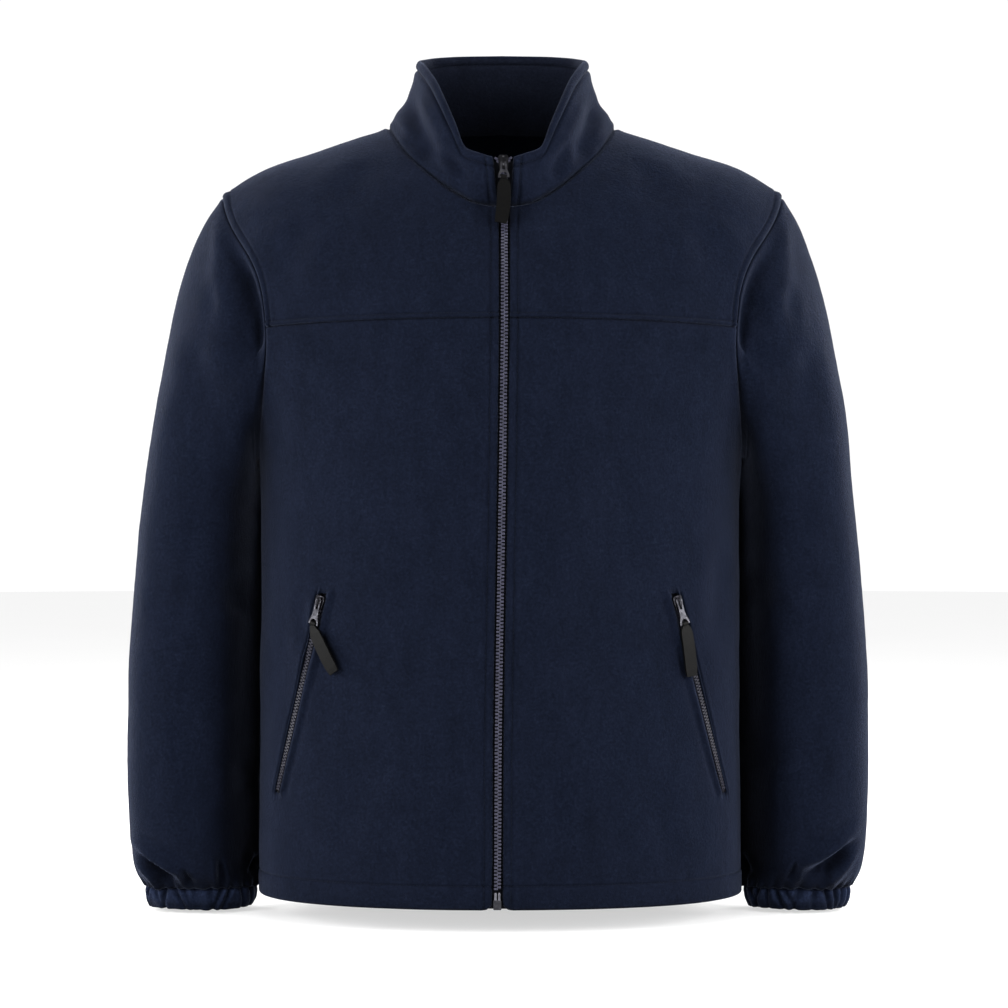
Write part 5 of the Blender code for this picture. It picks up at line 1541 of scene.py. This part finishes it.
for name, sign in sides:
    v = np.linspace(0, 1, 240)
    x, z = POCKET_T(name, v), POCKET_T("z", v)
    line = swayed(surface(sign * x, z))
    out = outward(sign * x, z)
    line, out = line[::-1], out[::-1]
    run = np.concatenate([[0], np.cumsum(np.linalg.norm(np.diff(line, axis=0), axis=1))])
    pitch = 2.9 * MM
    fl, total = along(line, out, pitch, 1.0 * MM, run[-1] - 1 * MM)
    fr, _ = along(line, out, pitch, 1.0 * MM + pitch / 2, run[-1] - 1 * MM)
    tl = stamp("pocket_zip_%s_teeth_a" % name, tooth_template(-2.75, 0.4, 1.05, -1.5, 0.25),
               fl, [COIL], smooth_shade=False)
    stamp("pocket_zip_%s_teeth_b" % name, tooth_template(-0.4, 2.75, 1.05, -1.5, 0.25),
          fr, [COIL], smooth_shade=False)
    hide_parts("pocket_zip_%s_chain" % name)
    ends, _ = along(line, out, run[-1] - 0.5 * MM, 0.2 * MM, None)
    stamp("pocket_zip_%s_stop" % name, tooth_template(-2.4, 2.4, 1.3, -1.5, 0.30),
          ends[:1], [METAL], smooth_shade=False)
    cf, _ = along(line, out, 6 * MM, 0.1 * MM, None)
    band("pocket_zip_%s_core" % name, cf, 2.7, -2.2, -1.0, [TAPE], "zip_tape")

# --------------------------------------------- the cloth pieces, and their cuts
CUTS = {}
for piece, (c, obj) in cloth.items():
    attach(obj, "root")
    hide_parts(piece)
    p = c.base
    q = np.cross(p[1:, 1:] - p[:-1, :-1], p[1:, :-1] - p[:-1, 1:]) / 2
    area = float(np.linalg.norm(q, axis=-1).sum())
    CUTS[piece] = (float(lengths(p, 1)[:, -1].max()), float(lengths(p, 0)[-1].max()), area)

# ---------------------------------------------- the hard pieces carried over
CARRIED = [("front_zip_tape_left", TAPE, 0.0),
           ("front_zip_tape_right", TAPE, 0.0)]
for prefix in ("front_zip", "pocket_zip_left", "pocket_zip_right"):
    CARRIED += [(prefix + "_slider", METAL, 0.30), (prefix + "_pull_tab", BRIGHT, 0.34),
                (prefix + "_pull_strap", STRAP, 0.80)]
    if prefix != "front_zip":
        CARRIED.append((prefix + "_tape", TAPE, 0.0))
for node, mat, width in CARRIED:
    obj = bpy.data.objects[node]
    obj.data.materials.clear()
    obj.data.materials.append(mat)
    if width:
        b = obj.modifiers.new("soft_edges", "BEVEL")
        b.width = width * MM
        b.segments = 3
        b.limit_method = "ANGLE"
        b.angle_limit = math.radians(35)
        b.harden_normals = False

# ---------------------------------------------------- floor, light and camera
def floor_material():
    m, nodes, links, bsdf = new_material(
        "pale_floor", (0.48, 0.48, 0.48), 0.9, Specular_IOR_Level=0.0,
        Emission_Color=(1.0, 1.0, 1.0), Emission_Strength=0.58)
    v = coordinates(nodes, links, (1, 1, 1))
    links.new(ramp(nodes, links, noise_node(nodes, links, v, 3, 2),
                   ((0.3, (0.475, 0.475, 0.475)), (0.7, (0.485, 0.485, 0.485)))),
              bsdf.inputs["Base Color"])
    return m


bpy.ops.mesh.primitive_circle_add(vertices=96, radius=9.0, fill_type="NGON",
                                  location=(0, 0.6, -0.7175))
floor = bpy.context.object
floor.name = "floor"
floor.data.materials.append(floor_material())

world = bpy.data.worlds.new("studio")
bpy.context.scene.world = world
world.use_nodes = True
back = world.node_tree.nodes["Background"]
back.inputs["Strength"].default_value = 1.04
# white beyond the jacket, falling to grey behind the camera
wn, wl = world.node_tree.nodes, world.node_tree.links
where = wn.new("ShaderNodeTexCoord")
parts = wn.new("ShaderNodeSeparateXYZ")
wl.new(where.outputs["Generated"], parts.inputs[0])
spread_out = wn.new("ShaderNodeMath")
spread_out.operation = "MULTIPLY_ADD"
spread_out.inputs[1].default_value = 0.5
spread_out.inputs[2].default_value = 0.5
wl.new(parts.outputs["Y"], spread_out.inputs[0])
wl.new(ramp(wn, wl, spread_out.outputs[0], (
    (0.0, (0.30, 0.30, 0.30)), (0.35, (0.36, 0.36, 0.36)), (0.66, (1.0, 1.0, 1.0)),
    (1.0, (1.0, 1.0, 1.0)))), back.inputs["Color"])


def area_light(name, location, target, size, power, colour=(1, 1, 1)):
    data = bpy.data.lights.new(name, "AREA")
    data.shape, data.size, data.size_y = "RECTANGLE", size[0], size[1]
    data.energy, data.color = power, colour
    obj = bpy.data.objects.new(name, data)
    obj.location = location
    way = Vector(target) - Vector(location)
    obj.rotation_euler = way.to_track_quat("-Z", "Y").to_euler()
    bpy.context.scene.collection.objects.link(obj)
    return obj


area_light("softbox_left", (-2.2, -1.6, 0.45), (0, 0, -0.35), (1.1, 1.7), 80)
area_light("softbox_right", (2.2, -1.6, 0.45), (0, 0, -0.35), (1.1, 1.7), 78)
area_light("rim_left", (-1.9, 1.9, 0.9), (0, 0, -0.3), (1.0, 1.6), 72)
area_light("rim_right", (1.9, 1.9, 0.9), (0, 0, -0.3), (1.0, 1.6), 72)
area_light("side_left", (-2.5, 0.05, -0.10), (0, 0.05, -0.30), (0.6, 1.5), 66)
area_light("side_right", (2.5, 0.05, -0.10), (0, 0.05, -0.30), (0.6, 1.5), 62)
area_light("softbox_top", (0.0, -1.5, 1.8), (0, 0, -0.3), (1.4, 0.8), 14)

camera = bpy.data.cameras.new("camera")
camera.sensor_width = 36
camera.lens = 99.9
camera.clip_end = 100
eye = bpy.data.objects.new("camera", camera)
eye.location = (0.00183, -2.56, -0.344)
eye.rotation_euler = (math.radians(90), 0, 0)
bpy.context.scene.collection.objects.link(eye)
bpy.context.scene.camera = eye
bpy.context.scene.view_settings.view_transform = "Standard"
bpy.context.scene.view_settings.look = "None"
